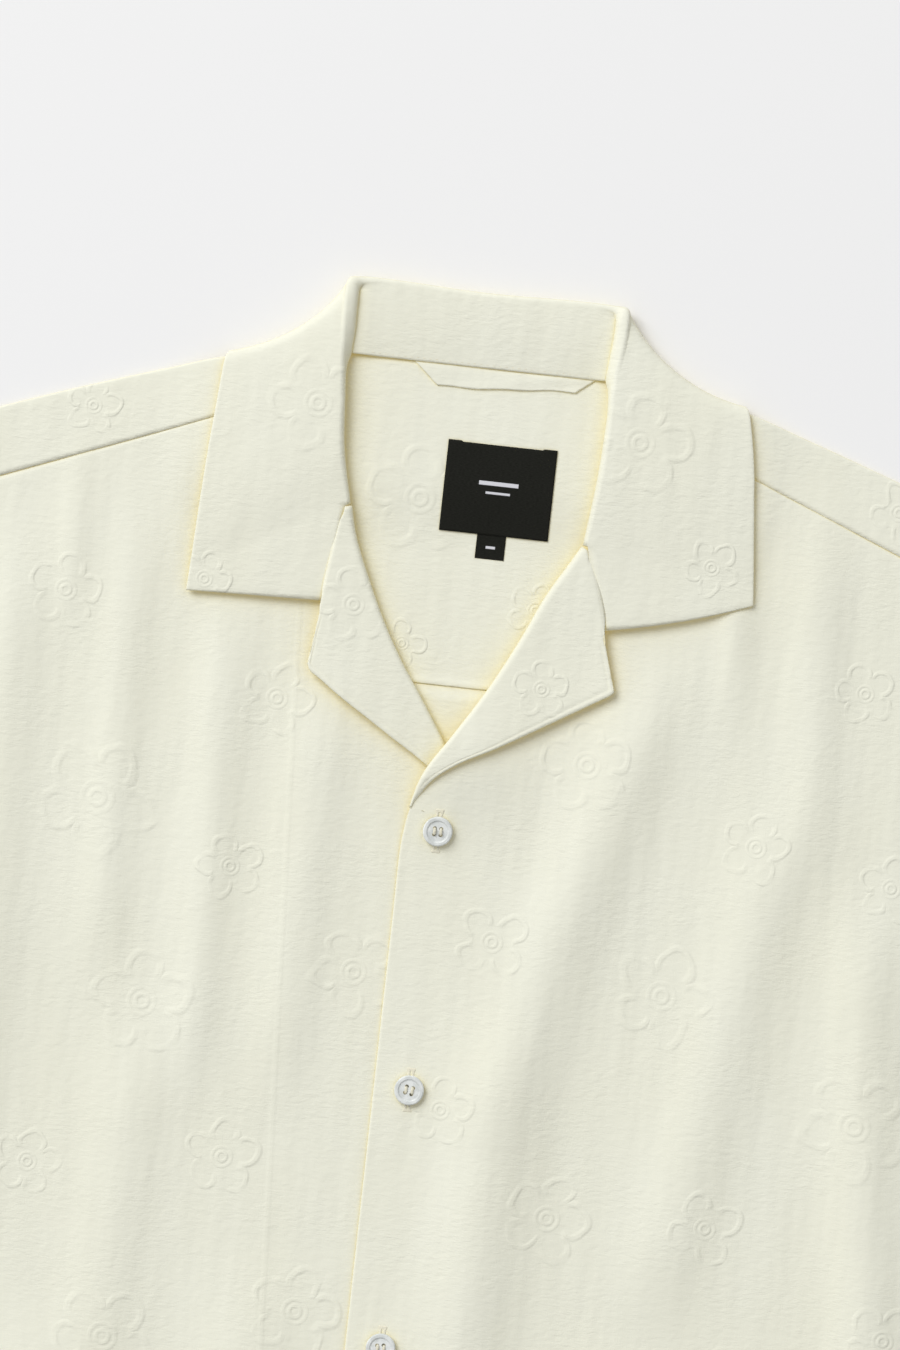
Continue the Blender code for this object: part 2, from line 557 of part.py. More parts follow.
def button_mesh(name):
    """Four-hole button: a turned disc with a raised rim and four round holes."""
    radius, top, corner = BUTTON["radius"], BUTTON["thickness"], BUTTON["corner"]
    rim = radius - BUTTON["rim_width"]
    profile = ((radius - corner, 0.0), (radius, corner), (radius, top - corner),
               (radius - corner, top), (rim, top),
               (rim - BUTTON["dish_slope"], top - BUTTON["dish"]))
    build = bmesh.new()
    rings = []
    for reach, z in profile:
        circle = bmesh.ops.create_circle(build, segments=24, radius=reach * MM,
                                         matrix=Matrix.Translation((0, 0, z * MM)))
        rings.append([e for e in build.edges if all(v in circle["verts"] for v in e.verts)])
    for low, high in zip(rings, rings[1:]):
        bmesh.ops.bridge_loops(build, edges=low + high)
    for ring in (rings[0], rings[-1]):
        bmesh.ops.contextual_create(build, geom=ring)
    bmesh.ops.recalc_face_normals(build, faces=build.faces)
    mesh = bpy.data.meshes.new(name)
    build.to_mesh(mesh)
    build.free()
    return mesh


def hole_cutter():
    """Four round pins on a square, hidden, used to cut each button."""
    build = bmesh.new()
    half = BUTTON["hole_spacing"] / 2 * MM
    for x in (-half, half):
        for y in (-half, half):
            bmesh.ops.create_cone(build, cap_ends=True, segments=10,
                                  radius1=BUTTON["hole_radius"] * MM,
                                  radius2=BUTTON["hole_radius"] * MM, depth=12 * MM,
                                  matrix=Matrix.Translation((x, y, 0)))
    mesh = bpy.data.meshes.new("hole_pins")
    build.to_mesh(mesh)
    build.free()
    return mesh


def make_button(number, y):
    """A button lying on the slope of the overlapping front, its holes cut through."""
    step = 3.0
    slope_x = (right_height(step, y) - right_height(-step, y)) / (2 * step)
    slope_y = (right_height(0.0, y + step) - right_height(0.0, y - step)) / (2 * step)
    normal = Vector((-float(slope_x), -float(slope_y), 1.0)).normalized()
    seat = float(right_height(0.0, y)) + CLOTH / 2 + BUTTON["gap"]
    place = (Matrix.Translation(Vector((0.0, y * MM, seat * MM)))
             @ normal.to_track_quat("Z", "Y").to_matrix().to_4x4())
    name = "button_%d" % number
    button = bpy.data.objects.new(name, button_mesh(name))
    button.data.transform(place)
    button.data.materials.append(material(name, (0.78, 0.81, 0.80, 1.0), 0.25))
    bpy.context.scene.collection.objects.link(button)
    shape = hole_cutter()
    shape.transform(place)
    cutter = bpy.data.objects.new("holes_of_" + name, shape)
    bpy.context.scene.collection.objects.link(cutter)
    cut = button.modifiers.new("holes", "BOOLEAN")
    cut.operation = "DIFFERENCE"
    cut.object = cutter
    bpy.context.view_layer.update()
    solid = bpy.data.meshes.new_from_object(
        button.evaluated_get(bpy.context.evaluated_depsgraph_get()))
    button.modifiers.clear()
    button.data = solid
    bpy.data.objects.remove(cutter)
    return button


def seat_on_origin():
    """Moves every piece so that the bottom centre of the whole shirt is the origin."""
    graph = bpy.context.evaluated_depsgraph_get()
    corners = []
    for piece in bpy.context.scene.objects:
        solid = piece.evaluated_get(graph)
        corners += [tuple(corner) for corner in solid.bound_box]
    low, high = np.min(corners, axis=0), np.max(corners, axis=0)
    shift = Matrix.Translation((-(low[0] + high[0]) / 2, -(low[1] + high[1]) / 2, -low[2]))
    for piece in bpy.context.scene.objects:
        piece.data.transform(shift)


for old in list(bpy.data.objects):
    bpy.data.objects.remove(old)

make_back()
make_yoke()
make_front("right", -1, LAPEL_LEFT, NECK_EDGE_LEFT,
           ((15.0, -246.0), (14.0, -232.0), (9.5, -218.0)), left_height)
make_front("left", 1, LAPEL_RIGHT, NECK_EDGE_RIGHT,
           ((-15.0, -250.0), (-14.6, -240.0), (-13.8, -231.0)), right_height)
make_collar()
make_sleeve("sleeve_right", -1)
make_sleeve("sleeve_left", 1)
make_trims()
for number, y in enumerate(BUTTON_YS, start=1):
    make_button(number, y)
seat_on_origin()
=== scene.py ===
"""Camp collar shirt laid flat on a table: the finish of every sewn piece, around the fixed frame.

Lengths are in the shirt's own millimetres: x = 0 on the button line, growing towards the
wearer's left, y = 0 on the collar's back fold, growing towards the neck, and z upwards.
"""

import bmesh
import bpy
import numpy as np
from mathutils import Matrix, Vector


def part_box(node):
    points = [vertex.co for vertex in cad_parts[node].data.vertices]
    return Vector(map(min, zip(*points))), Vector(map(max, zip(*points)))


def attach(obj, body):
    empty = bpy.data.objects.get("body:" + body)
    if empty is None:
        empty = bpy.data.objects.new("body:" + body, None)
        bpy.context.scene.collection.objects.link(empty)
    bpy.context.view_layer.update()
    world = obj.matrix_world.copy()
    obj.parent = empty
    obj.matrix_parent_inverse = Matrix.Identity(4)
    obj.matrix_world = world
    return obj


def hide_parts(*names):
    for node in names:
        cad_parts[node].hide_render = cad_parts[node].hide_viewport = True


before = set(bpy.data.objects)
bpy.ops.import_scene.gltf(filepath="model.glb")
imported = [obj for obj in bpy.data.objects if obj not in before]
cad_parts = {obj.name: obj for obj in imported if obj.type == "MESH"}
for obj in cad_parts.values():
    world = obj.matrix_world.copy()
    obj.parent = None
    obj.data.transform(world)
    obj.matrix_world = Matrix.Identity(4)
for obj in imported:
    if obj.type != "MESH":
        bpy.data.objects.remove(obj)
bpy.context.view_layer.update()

# Back panel: light crepe cut on the straight grain, joined to the yoke across the shoulder
# blades and to the fronts down the sides. It lies flat on the table, with a narrow hem.
MM = 0.001
WALL = 1.0  # thickness of the frame's cloth walls
LAYER = 1.35  # from one layer's middle to the next one's middle
PLY = 0.5  # thickness of one ply of crepe
STEP = 2.6  # distance between neighbouring points of the cloth
HEM_Y = -700.0
UNDERARM_Y = -300.0
YOKE_SEAM_Y = -168.0
HEM_HALF_WIDTH = 268.0
HEM_DEPTH = 20.0  # turned-up hem, held by one row of stitches
SHOULDER_X = 235.0
ARMHOLE = (
    # y, half width
    (-82.5, 235), (-97, 232.8), (-112, 231), (-140, 229.5), (-168, 230), (-200, 234.5),
    (-230, 243), (-255, 253), (-275, 262), (-290, 269.5), (-300, 275),
)
LEAF_FADE_X = (106.0, 140.0)  # between these the lift over the collar leaf fades out
LEAF_FADE_Y = (-112.0, -80.0)
LEAF_STACK = 2.7  # the back rides this high over the collar leaf under it
NO_LINE = (900, 0, 900, 1)  # an impression line far off every piece
ORIGIN = np.array([0.0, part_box("back")[0].y / MM - HEM_Y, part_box("back")[0].z / MM])


def smooth(start, end, x):
    """0 before start, 1 after end, and a soft S between them."""
    t = np.clip((np.asarray(x, float) - start) / (end - start), 0.0, 1.0)
    return t * t * (3.0 - 2.0 * t)


def cubic(start, end, start_slope, end_slope, t):
    """Cubic from start to end at t from 0 to 1, with the given slopes at its two ends."""
    return ((2 * t ** 3 - 3 * t ** 2 + 1) * start + (t ** 3 - 2 * t ** 2 + t) * start_slope
            + (3 * t ** 2 - 2 * t ** 3) * end + (t ** 3 - t ** 2) * end_slope)


def curve(table, x):
    """Smooth curve through a two-column table: cubic pieces that share their slopes."""
    at, value = np.array(sorted(table), float).T
    slope = np.gradient(value, at)
    x = np.clip(np.asarray(x, float), at[0], at[-1])
    i = np.clip(np.searchsorted(at, x) - 1, 0, len(at) - 2)
    run = at[i + 1] - at[i]
    return cubic(value[i], value[i + 1], slope[i] * run, slope[i + 1] * run, (x - at[i]) / run)


def side_x(y):
    """Half width of the body at y: the armhole above the underarm, the side seam below."""
    seam = np.interp(y, (HEM_Y, UNDERARM_Y), (HEM_HALF_WIDTH, ARMHOLE[-1][1]))
    return np.where(np.asarray(y) > UNDERARM_Y, curve(ARMHOLE, y), seam)


def back_height(x, y):
    """Middle of the back layer: flat on the table, lifted where the collar leaf lies below."""
    across = 1 - smooth(*LEAF_FADE_X, np.abs(x))
    return WALL / 2 + LEAF_STACK * across * smooth(*LEAF_FADE_Y, y)


def spaced(length, step=STEP, marks=()):
    """Distances from 0 to length about one step apart, and closer round each mark."""
    even = np.linspace(0, length, max(2, int(round(length / step)) + 1))
    near = np.array([-1.5, -0.9, -0.45, -0.15, 0.15, 0.45, 0.9, 1.5])
    close = np.concatenate([mark + near for mark in marks]) if marks else np.array([])
    close = close[(close > 0.05) & (close < length - 0.05)]
    far = [value for value in even if not len(close) or np.min(np.abs(close - value)) > 0.8
           or value in (0.0, length)]
    return np.unique(np.concatenate([far, close]))


def patch(x, y, z, u=None, v=None, lift=0.0):
    """A grid of cloth: points, its own flat coordinates u and v, and how far each point is
    moved out along the normal."""
    x, y, z = np.broadcast_arrays(x, y, z)
    u, v = np.broadcast_arrays(x if u is None else u, y if v is None else v)
    return dict(points=np.stack([x, y, z], axis=-1).astype(float),
                flat=np.stack([u, v], axis=-1).astype(float),
                lift=np.broadcast_to(lift, x.shape).astype(float))


def nearest_flower(flat, flowers):
    """For the corners of each face on the flat cloth, their place inside the flower nearest to
    the face, in its radii, that radius, and the flower's petals, a mask that is 1 inside it,
    and a number of its own."""
    rows = np.array(flowers if len(flowers) else [(9999, 9999, 1, 5, 0)], float)
    middle = flat.mean(axis=1)[:, None] - rows[None, :, :2]
    i = np.argmin(np.linalg.norm(middle, axis=2) - rows[None, :, 2], axis=1).repeat(4)
    radius, petals, turn = rows[i, 2], rows[i, 3], np.radians(rows[i, 4])
    inside = (flat.reshape(-1, 2) - rows[i, :2]) / radius[:, None]
    turned = np.stack([inside[:, 0] * np.cos(turn) + inside[:, 1] * np.sin(turn),
                       inside[:, 1] * np.cos(turn) - inside[:, 0] * np.sin(turn)], axis=1)
    mask = 1 - smooth(1.25, 1.4, np.linalg.norm(inside, axis=1))
    return np.column_stack([turned, radius]), np.column_stack([petals, mask, i * 3.7])


def placed(name, data):
    """A new object in the scene that carries data."""
    made = bpy.data.objects.new(name, data)
    bpy.context.scene.collection.objects.link(made)
    return made


def new_mesh(name, points, faces):
    """A mesh of four-sided faces over points given in millimetres."""
    mesh = bpy.data.meshes.new(name)
    mesh.from_pydata(((points.reshape(-1, 3) + ORIGIN) * MM).tolist(), [],
                     faces.reshape(-1, 4).tolist())
    return mesh


def join_points(mesh, reach, face_out=False):
    """Makes one point of those that lie within reach, in metres, and can turn faces outwards."""
    build = bmesh.new()
    build.from_mesh(mesh)
    bmesh.ops.remove_doubles(build, verts=build.verts, dist=reach)
    if face_out:
        bmesh.ops.recalc_face_normals(build, faces=build.faces)
    build.to_mesh(mesh)
    build.free()


def sew(name, patches, cloth, ply=PLY, flowers=(), impression=NO_LINE):
    """One cloth piece: its patches joined where their points meet, every point moved out along
    its normal by its own lift, and a ply's thickness given to the whole. impression is a line
    on the flat cloth, x0, y0, x1, y1, where an edge underneath shows through."""
    faces, start = [], 0
    for grid in patches:
        rows, columns = grid["lift"].shape
        index = np.arange(rows * columns).reshape(rows, columns) + start
        quads = np.stack([index[:-1, :-1], index[1:, :-1], index[1:, 1:], index[:-1, 1:]], -1)
        faces.append(quads.reshape(-1, 4))
        start += rows * columns
    faces = np.concatenate(faces)
    points = np.concatenate([grid["points"].reshape(-1, 3) for grid in patches])
    flat = np.concatenate([grid["flat"].reshape(-1, 2) for grid in patches])[faces.ravel()]
    lifts = np.concatenate([grid["lift"].ravel() for grid in patches]) * MM
    place, kind = nearest_flower(flat.reshape(-1, 4, 2), flowers)
    x0, y0, x1, y1 = impression
    from_line = (flat[:, 0] - x0) * (y1 - y0) - (flat[:, 1] - y0) * (x1 - x0)
    from_line = from_line / np.hypot(x1 - x0, y1 - y0)
    mesh = new_mesh(name, points, faces)
    mesh.uv_layers.new(name="cloth").uv.foreach_set("vector", flat.ravel())
    for label, values, domain in (("bloom", place, "CORNER"), ("bloom_kind", kind, "CORNER"),
                                  ("impression", from_line, "CORNER"), ("out", lifts, "POINT")):
        form, key = ("FLOAT_VECTOR", "vector") if values.ndim > 1 else ("FLOAT", "value")
        held = mesh.attributes.new(label, form, domain)
        held.data.foreach_set(key, values.astype(np.float32).ravel())
    join_points(mesh, 2e-6)
    count = len(mesh.vertices)
    co, normal, out = np.empty(count * 3), np.empty(count * 3), np.empty(count)
    mesh.vertices.foreach_get("co", co)
    mesh.vertex_normals.foreach_get("vector", normal)
    mesh.attributes["out"].data.foreach_get("value", out)
    mesh.vertices.foreach_set("co", co + normal * np.repeat(out, 3))
    mesh.attributes.remove(mesh.attributes["out"])
    mesh.shade_smooth()
    piece = placed(name, mesh)
    mesh.materials.append(cloth)
    wall = piece.modifiers.new("ply", "SOLIDIFY")
    wall.thickness = ply * MM
    wall.offset = 0.0
    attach(piece, "root")
    return piece


def add(tree, kind, *inputs, pick=0, **settings):
    """Adds one shader node, sets or links its inputs in order, and gives one output."""
    made = tree.nodes.new("ShaderNode" + kind)
    for name, value in settings.items():
        setattr(made, name, value)
    for slot, value in zip(made.inputs, inputs):
        if isinstance(value, bpy.types.NodeSocket):
            tree.links.new(value, slot)
        elif value is not None:
            slot.default_value = value
    return made.outputs[pick]


def maths(operation, *terms):
    """One Math node. Its tree is that of the first term, or of the second after a number."""
    tree = (terms[0] if isinstance(terms[0], bpy.types.NodeSocket) else terms[1]).id_data
    return add(tree, "Math", *terms, operation=operation)


def vector_maths(operation, *terms):
    """One Vector Math node on a vector: a number for LENGTH, a vector for the others."""
    return add(terms[0].id_data, "VectorMath", *terms, operation=operation,
               pick=int(operation == "LENGTH"))


def sum_of(*terms):
    """Adds up any number of values."""
    total = terms[0]
    for term in terms[1:]:
        total = maths("ADD", total, term)
    return total


def times(*terms):
    """Multiplies any number of values."""
    product = terms[0]
    for term in terms[1:]:
        product = maths("MULTIPLY", product, term)
    return product


def between(value, low, high, out_low=0.0, out_high=1.0):
    """A soft step from out_low, where value is low, to out_high, where it is high."""
    return add(value.id_data, "MapRange", value, low, high, out_low, out_high,
               interpolation_type="SMOOTHSTEP")


def parts(vector, count):
    """The first count parts of a vector."""
    return list(add(vector.id_data, "SeparateXYZ", vector).node.outputs)[:count]


def noise(place, detail, scale=1.0, rough=0.5, pick=0):
    """Noise at a place: a value round 0.5, or three of them as a colour with pick=1."""
    return add(place.id_data, "TexNoise", place, None, scale, detail, rough, pick=pick)


def stretched(place, across, along):
    """A place scaled so that one unit is across by along of its own units."""
    return vector_maths("MULTIPLY", place, (1 / across, 1 / along, 1))


def nudged(place, colour, reach):
    """A place moved by reach times what a noise colour has over 0.5, on each axis."""
    return vector_maths("MULTIPLY_ADD", vector_maths("SUBTRACT", colour, (0.5, 0.5, 0.5)),
                        reach, place)


def group(name, inputs, outputs):
    """A new shader node group, with its two end nodes."""
    tree = bpy.data.node_groups.new(name, "ShaderNodeTree")
    for label, kind in inputs:
        tree.interface.new_socket(label, in_out="INPUT", socket_type=kind)
    for label, kind in outputs:
        tree.interface.new_socket(label, in_out="OUTPUT", socket_type=kind)
    return tree, tree.nodes.new("NodeGroupInput"), tree.nodes.new("NodeGroupOutput")


CREPE_WAVES = (
    # a unit's size across and along the cloth, detail, roughness, height in metres
    (4.4, 1.6, 3.0, 0.62, 0.00029),  # creases
    (5.0, 3.4, 1.0, 0.5, 0.00020),  # pucker
    (9, 60, 1.0, 0.5, 0.00055),  # streaks down the grain
    (0.42, 3.0, 0.0, 0.5, 0.00003),  # warp
    (3.0, 0.42, 0.0, 0.5, 0.00004),  # weft
)
PETAL_CENTRE = 0.6  # these four are in the flower's own radii
PETAL_RADIUS = 0.38
DISC_RADIUS = 0.50
PETAL_MELT = 0.10
RINGS = ((0.115, 0.00017), (0.245, 0.00011))  # radius, and height in metres
BAND_HEIGHT = 0.00025  # metres


def make_crepe_group():
    """Crepe: fine creases that run across the grain, in places weaker, a softer pucker, faint
    streaks and the weave itself, each one noise times its height. Height is in metres, tint is
    a mottle from 0 to 1."""
    tree, start, end = group("crepe", (("Flat", "NodeSocketVector"),),
                             (("Height", "NodeSocketFloat"), ("Tint", "NodeSocketFloat")))
    flat = start.outputs["Flat"]
    flat = nudged(flat, noise(stretched(flat, 14, 10), 2.0, pick=1), (3.0, 2.6, 0.0))
    waves = [times(noise(stretched(flat, across, along), detail, rough=rough), height)
             for across, along, detail, rough, height in CREPE_WAVES]
    strength = between(noise(stretched(flat, 46, 30), 1.0), 0.35, 0.65, 0.45, 1.1)
    waves[0] = times(waves[0], strength)
    tree.links.new(sum_of(*waves), end.inputs["Height"])
    tree.links.new(noise(stretched(flat, 40, 100), 3.0), end.inputs["Tint"])
    return tree


def make_flower_group():
    """Flower pressed into the cloth: round petals on a circle joined to a middle disc, drawn
    as a soft raised band inside the outline, in places worn away, and two raised rings at the
    centre. Lengths are in the flower's radii, height is in metres."""
    tree, start, end = group(
        "pressed_flower", (("Bloom", "NodeSocketVector"), ("Kind", "NodeSocketVector")),
        (("Height", "NodeSocketFloat"),))
    x, y = parts(start.outputs["Bloom"], 2)
    petals, mask, seed = parts(start.outputs["Kind"], 3)
    straight = add(tree, "CombineXYZ", x, y, 0.0)
    wobble = noise(add(tree, "CombineXYZ", x, y, seed), 0.0, scale=1.5, pick=1)
    place = nudged(straight, wobble, (0.24, 0.24, 0.0))
    px, py = parts(place, 2)
    reach = vector_maths("LENGTH", place)
    half = maths("DIVIDE", np.pi, petals)
    angle = maths("WRAP", maths("ARCTAN2", py, px), half, times(half, -1.0))
    along = sum_of(times(reach, maths("COSINE", angle)), -PETAL_CENTRE)
    to_petal = add(tree, "CombineXYZ", along, times(reach, maths("SINE", angle)), 0.0)
    petal = sum_of(vector_maths("LENGTH", to_petal), -PETAL_RADIUS)
    edge = maths("SMOOTH_MIN", petal, sum_of(reach, -DISC_RADIUS), PETAL_MELT)
    worn = between(noise(place, 1.0, scale=1.9), 0.30, 0.60, 0.18, 1.0)
    band = times(between(edge, -0.17, -0.09), between(edge, -0.05, 0.03, 1, 0),
                 between(reach, 0.42, 0.56), worn, BAND_HEIGHT)
    from_centre = vector_maths("LENGTH", straight)
    rings = [times(between(maths("ABSOLUTE", sum_of(from_centre, -radius)), 0.01, 0.06, 1, 0),
                   height) for radius, height in RINGS]
    tree.links.new(times(sum_of(band, *rings), mask), end.inputs["Height"])
    return tree


CREPE = make_crepe_group()
FLOWER = make_flower_group()
SHADE_REACH = 0.030  # metres: where layers face each other this near, painted shade and a painted glow stand in for light passing through thin cloth
# painted shade: the cloth's colour is multiplied towards this warm tan where little open sky is
# in reach
SHADE_COLOUR = (0.85, 0.785, 0.545)
# painted glow: this warm light is emitted where almost no open sky is in reach, though the cloth
# is no lamp
PAINTED_GLOW_COLOUR = (0.16, 0.122, 0.042)
CREPE_LIGHT = (0.785, 0.787, 0.685)
CREPE_DEEP = (0.752, 0.745, 0.618)


def start_material(name):
    """A new material, with its node tree and its shader."""
    made = bpy.data.materials.new(name)
    made.use_nodes = True
    return made, made.node_tree, made.node_tree.nodes["Principled BSDF"]


def two_colours(share, first, second, how="MIX"):
    """The first colour where share is 0; where it is 1 the second, or their product."""
    colours = [value if isinstance(value, bpy.types.NodeSocket) else (*value, 1)
               for value in (first, second)]
    return add(share.id_data, "Mix", share, *[None] * 5, *colours, data_type="RGBA",
               blend_type=how, pick=2)


def emboss(shader, height):
    """Tilts the shader's normal by the slope of a height in metres."""
    normal = add(height.id_data, "Bump")
    normal.node.inputs["Distance"].default_value = 1.0
    height.id_data.links.new(height, normal.node.inputs["Height"])
    height.id_data.links.new(normal, shader.inputs["Normal"])


def crepe_cloth(name):
    """Cream crepe with pressed flowers: a matte, softly mottled cloth with a slight sheen.
    Painted shade darkens its colour to a warm tan where little open sky is in reach, and a faint
    painted glow is emitted where almost none is."""
    made, tree, shader = start_material(name)
    crepe, flower = (tree.nodes.new("ShaderNodeGroup") for _ in range(2))
    crepe.node_tree, flower.node_tree = CREPE, FLOWER
    tree.links.new(add(tree, "UVMap", uv_map="cloth"), crepe.inputs["Flat"])
    for label, attribute in (("Bloom", "bloom"), ("Kind", "bloom_kind")):
        tree.links.new(add(tree, "Attribute", pick=1, attribute_name=attribute),
                       flower.inputs[label])
    line = maths("ABSOLUTE", add(tree, "Attribute", pick=2, attribute_name="impression"))
    line = times(between(line, 0.3, 1.8, 1, 0), 0.0001)
    emboss(shader, sum_of(crepe.outputs["Height"], flower.outputs["Height"], line))
    colour = two_colours(crepe.outputs["Tint"], CREPE_DEEP, CREPE_LIGHT)
    # Painted shade: ambient occlusion multiplies the base colour towards the warm shade colour.
    open_sky = add(tree, "AmbientOcclusion", None, SHADE_REACH, pick=1, samples=1)
    shaded = two_colours(between(open_sky, 0.25, 0.96, 1, 0), colour, SHADE_COLOUR, "MULTIPLY")
    tree.links.new(shaded, shader.inputs["Base Color"])
    # Painted glow: the most occluded places emit a faint warm light, standing in for light
    # passing through thin cloth.
    glow = two_colours(between(open_sky, 0.0, 0.55, 1, 0), (0, 0, 0), PAINTED_GLOW_COLOUR)
    tree.links.new(glow, shader.inputs["Emission Color"])
    shader.inputs["Emission Strength"].default_value = 1.0
    rough = between(crepe.outputs["Tint"], 0.2, 0.8, 0.82, 0.92)
    tree.links.new(rough, shader.inputs["Roughness"])
    shader.inputs["Sheen Weight"].default_value = 0.12
    shader.inputs["Sheen Roughness"].default_value = 0.5
    shader.inputs["Specular IOR Level"].default_value = 0.2
    return made


BODY_CLOTH = crepe_cloth("body_crepe")

y = (HEM_Y + spaced(YOKE_SEAM_Y - 0.2 - HEM_Y, 6.0, marks=(HEM_DEPTH,)))[:, None]
inset = 1.5 * (1 - smooth(UNDERARM_Y, UNDERARM_Y + 30, y))
x = (side_x(y) - inset) * np.linspace(-1, 1, 90)[None, :]
back = sew("back_panel", [patch(x, y, WALL / 2)], BODY_CLOTH)
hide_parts("back")

# Yoke: one cut piece across the shoulder blades, folded over each shoulder to the forward
# shoulder seam. Its inside shows in the neck opening, down to the seam with the back.
FRONT_FOLDS = (
    # soft folds of the front layer: x0, y0, x1, y1, half width, height
    (86, -160, 60, -255, 17, 3.6), (62, -240, 38, -345, 18, 4.2),
    (40, -325, 35, -450, 19, 4.6), (35, -440, 30, -665, 20, 3.2),
    (113, -84, 119, -165, 8, 1.7), (148, -86, 158, -225, 12, 2.2),
    (146, -210, 112, -420, 17, 3), (184, -250, 203, -430, 14, 3.6),
    (204, -410, 212, -650, 15, 3), (150, -470, 176, -690, 20, 2.6),
    (96, -450, 84, -660, 18, 2.4), (-98, -150, -93, -345, 12, 2.6),
    (-54, -178, -57, -345, 14, 2.4), (-142, -120, -137, -300, 11, 2),
    (-190, -130, -186, -300, 13, 2.4), (-186, -285, -194, -450, 15, 3),
    (-116, -330, -122, -480, 16, 2.4), (-168, -90, -166, -160, 8, 1.4),
    (-150, -460, -160, -690, 20, 2.8), (-56, -430, -72, -660, 18, 2.4),
    (-226, -330, -232, -600, 15, 3), (262, -130, 330, -300, 18, 2.6),
    (330, -170, 372, -240, 14, 1.8), (-258, -140, -322, -300, 18, 2.4),
    (-318, -165, -370, -250, 16, 2),
)
SHOULDER_FOLD = (
    # |x|, y
    (50, -31.6), (64, -32.6), (84, -34.2), (104, -38), (112, -39.6), (135, -46.8),
    (180, -62), (235, -82.5),
)
NECK_SEAM_Y = -31.4
STRIP_NECK_X = {-1: 64.8, 1: 57.2}  # where each shoulder strip ends at the neck
FOLD_STRENGTH = 1.2
SHOULDER_BEND = 0.9  # radius of the fold over the shoulder
YOKE_FLOWERS = ((-23, -90, 24, 5, 20), (31, -132, 13, 5, 70), (-24, -152, 11, 4, 5),
                (-165, -66, 13, 5, 10), (98, -95, 22, 5, 50), (180, -74, 14, 4, 15))


def blend(start, end, share):
    """start where share is 0, end where it is 1, and a straight mix between."""
    return start * (1 - share) + end * share


def folds(x, y):
    """Sum of soft ridges along the lines of FRONT_FOLDS, fading at both ends."""
    x, y = np.broadcast_arrays(np.asarray(x, float), np.asarray(y, float))
    total = np.zeros(x.shape)
    for x0, y0, x1, y1, width, height in FRONT_FOLDS:
        run = np.hypot(x1 - x0, y1 - y0)
        along = ((x - x0) * (x1 - x0) + (y - y0) * (y1 - y0)) / run
        across = ((x - x0) * (y1 - y0) - (y - y0) * (x1 - x0)) / run
        ends = smooth(-25, 35, along) * (1 - smooth(run - 35, run + 25, along))
        total = total + FOLD_STRENGTH * height * ends * np.exp(-(across / width) ** 2)
    return total * (0.5 + 0.5 * smooth(HEM_Y, HEM_Y + 60, y))


def front_height(x, y):
    """Middle of the front layer, one layer over the back plus its soft folds."""
    puff = 0.7 * (1 - smooth(120, 175, np.abs(x))) * smooth(-150, -105, y)
    return back_height(x, y) + LAYER + puff + folds(x, y)


def shoulder_strip(side, low, fold_y):
    """From the yoke's shoulder line over the fold and down to the forward shoulder seam: an
    arc round the fold, then a ruled strip."""
    x = low[:, 0]
    seam_x = side * np.interp(np.abs(x), (STRIP_NECK_X[side], SHOULDER_X),
                              (STRIP_NECK_X[side] - 0.6, 231.5))
    seam_y = -50 - 0.395 * (np.abs(seam_x) - 75)
    high_y = fold_y - SHOULDER_BEND
    high_z = front_height(x, high_y)
    half = np.radians(np.linspace(-90, 90, 9))[:, None]
    arc = patch(x + 0 * half, high_y + SHOULDER_BEND * np.cos(half),
                (low[:, 2] + high_z) / 2 + (high_z - low[:, 2]) / 2 * np.sin(half))
    t = np.linspace(0, 1, 14)[1:, None]
    strip_x, strip_y = blend(x, seam_x, t), blend(high_y, seam_y, t)
    return [arc, patch(np.concatenate([x[None], strip_x]),
                       np.concatenate([high_y[None], strip_y]),
                       np.concatenate([high_z[None], front_height(strip_x, strip_y)]))]


columns = {side: np.concatenate([[STRIP_NECK_X[side]],
                                 np.linspace(STRIP_NECK_X[side], SHOULDER_X, 66)[1:]])
           for side in (-1, 1)}
neck_x = np.linspace(-STRIP_NECK_X[-1], STRIP_NECK_X[1], 49)[1:-1]
top_x = np.concatenate([-columns[-1][::-1], neck_x, columns[1]])
fold_y = curve(SHOULDER_FOLD, np.abs(top_x))
at_neck = (top_x > -STRIP_NECK_X[-1]) & (top_x < STRIP_NECK_X[1])
top_y = np.where(at_neck, NECK_SEAM_Y, fold_y - SHOULDER_BEND)
seam_rise = np.concatenate([[0, 0.5, 1.0, 1.6, 2.4, 3.6], np.linspace(5, 136.6, 46)])
y = blend(YOKE_SEAM_Y, top_y, (seam_rise / seam_rise[-1])[:, None])
x = top_x * (1 + (side_x(y) / SHOULDER_X - 1) * np.abs(top_x) / SHOULDER_X)
lip = 0.55 * np.exp(-((y - YOKE_SEAM_Y - 1.2) / 1.6) ** 2)
inside = patch(x, y, back_height(x, y) + lip)
patches = [inside]
for side, part in ((-1, slice(0, 66)), (1, slice(-66, None))):
    patches += shoulder_strip(side, inside["points"][-1, part], fold_y[part])
yoke = sew("yoke_panel", patches, BODY_CLOTH, flowers=YOKE_FLOWERS)
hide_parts("yoke")

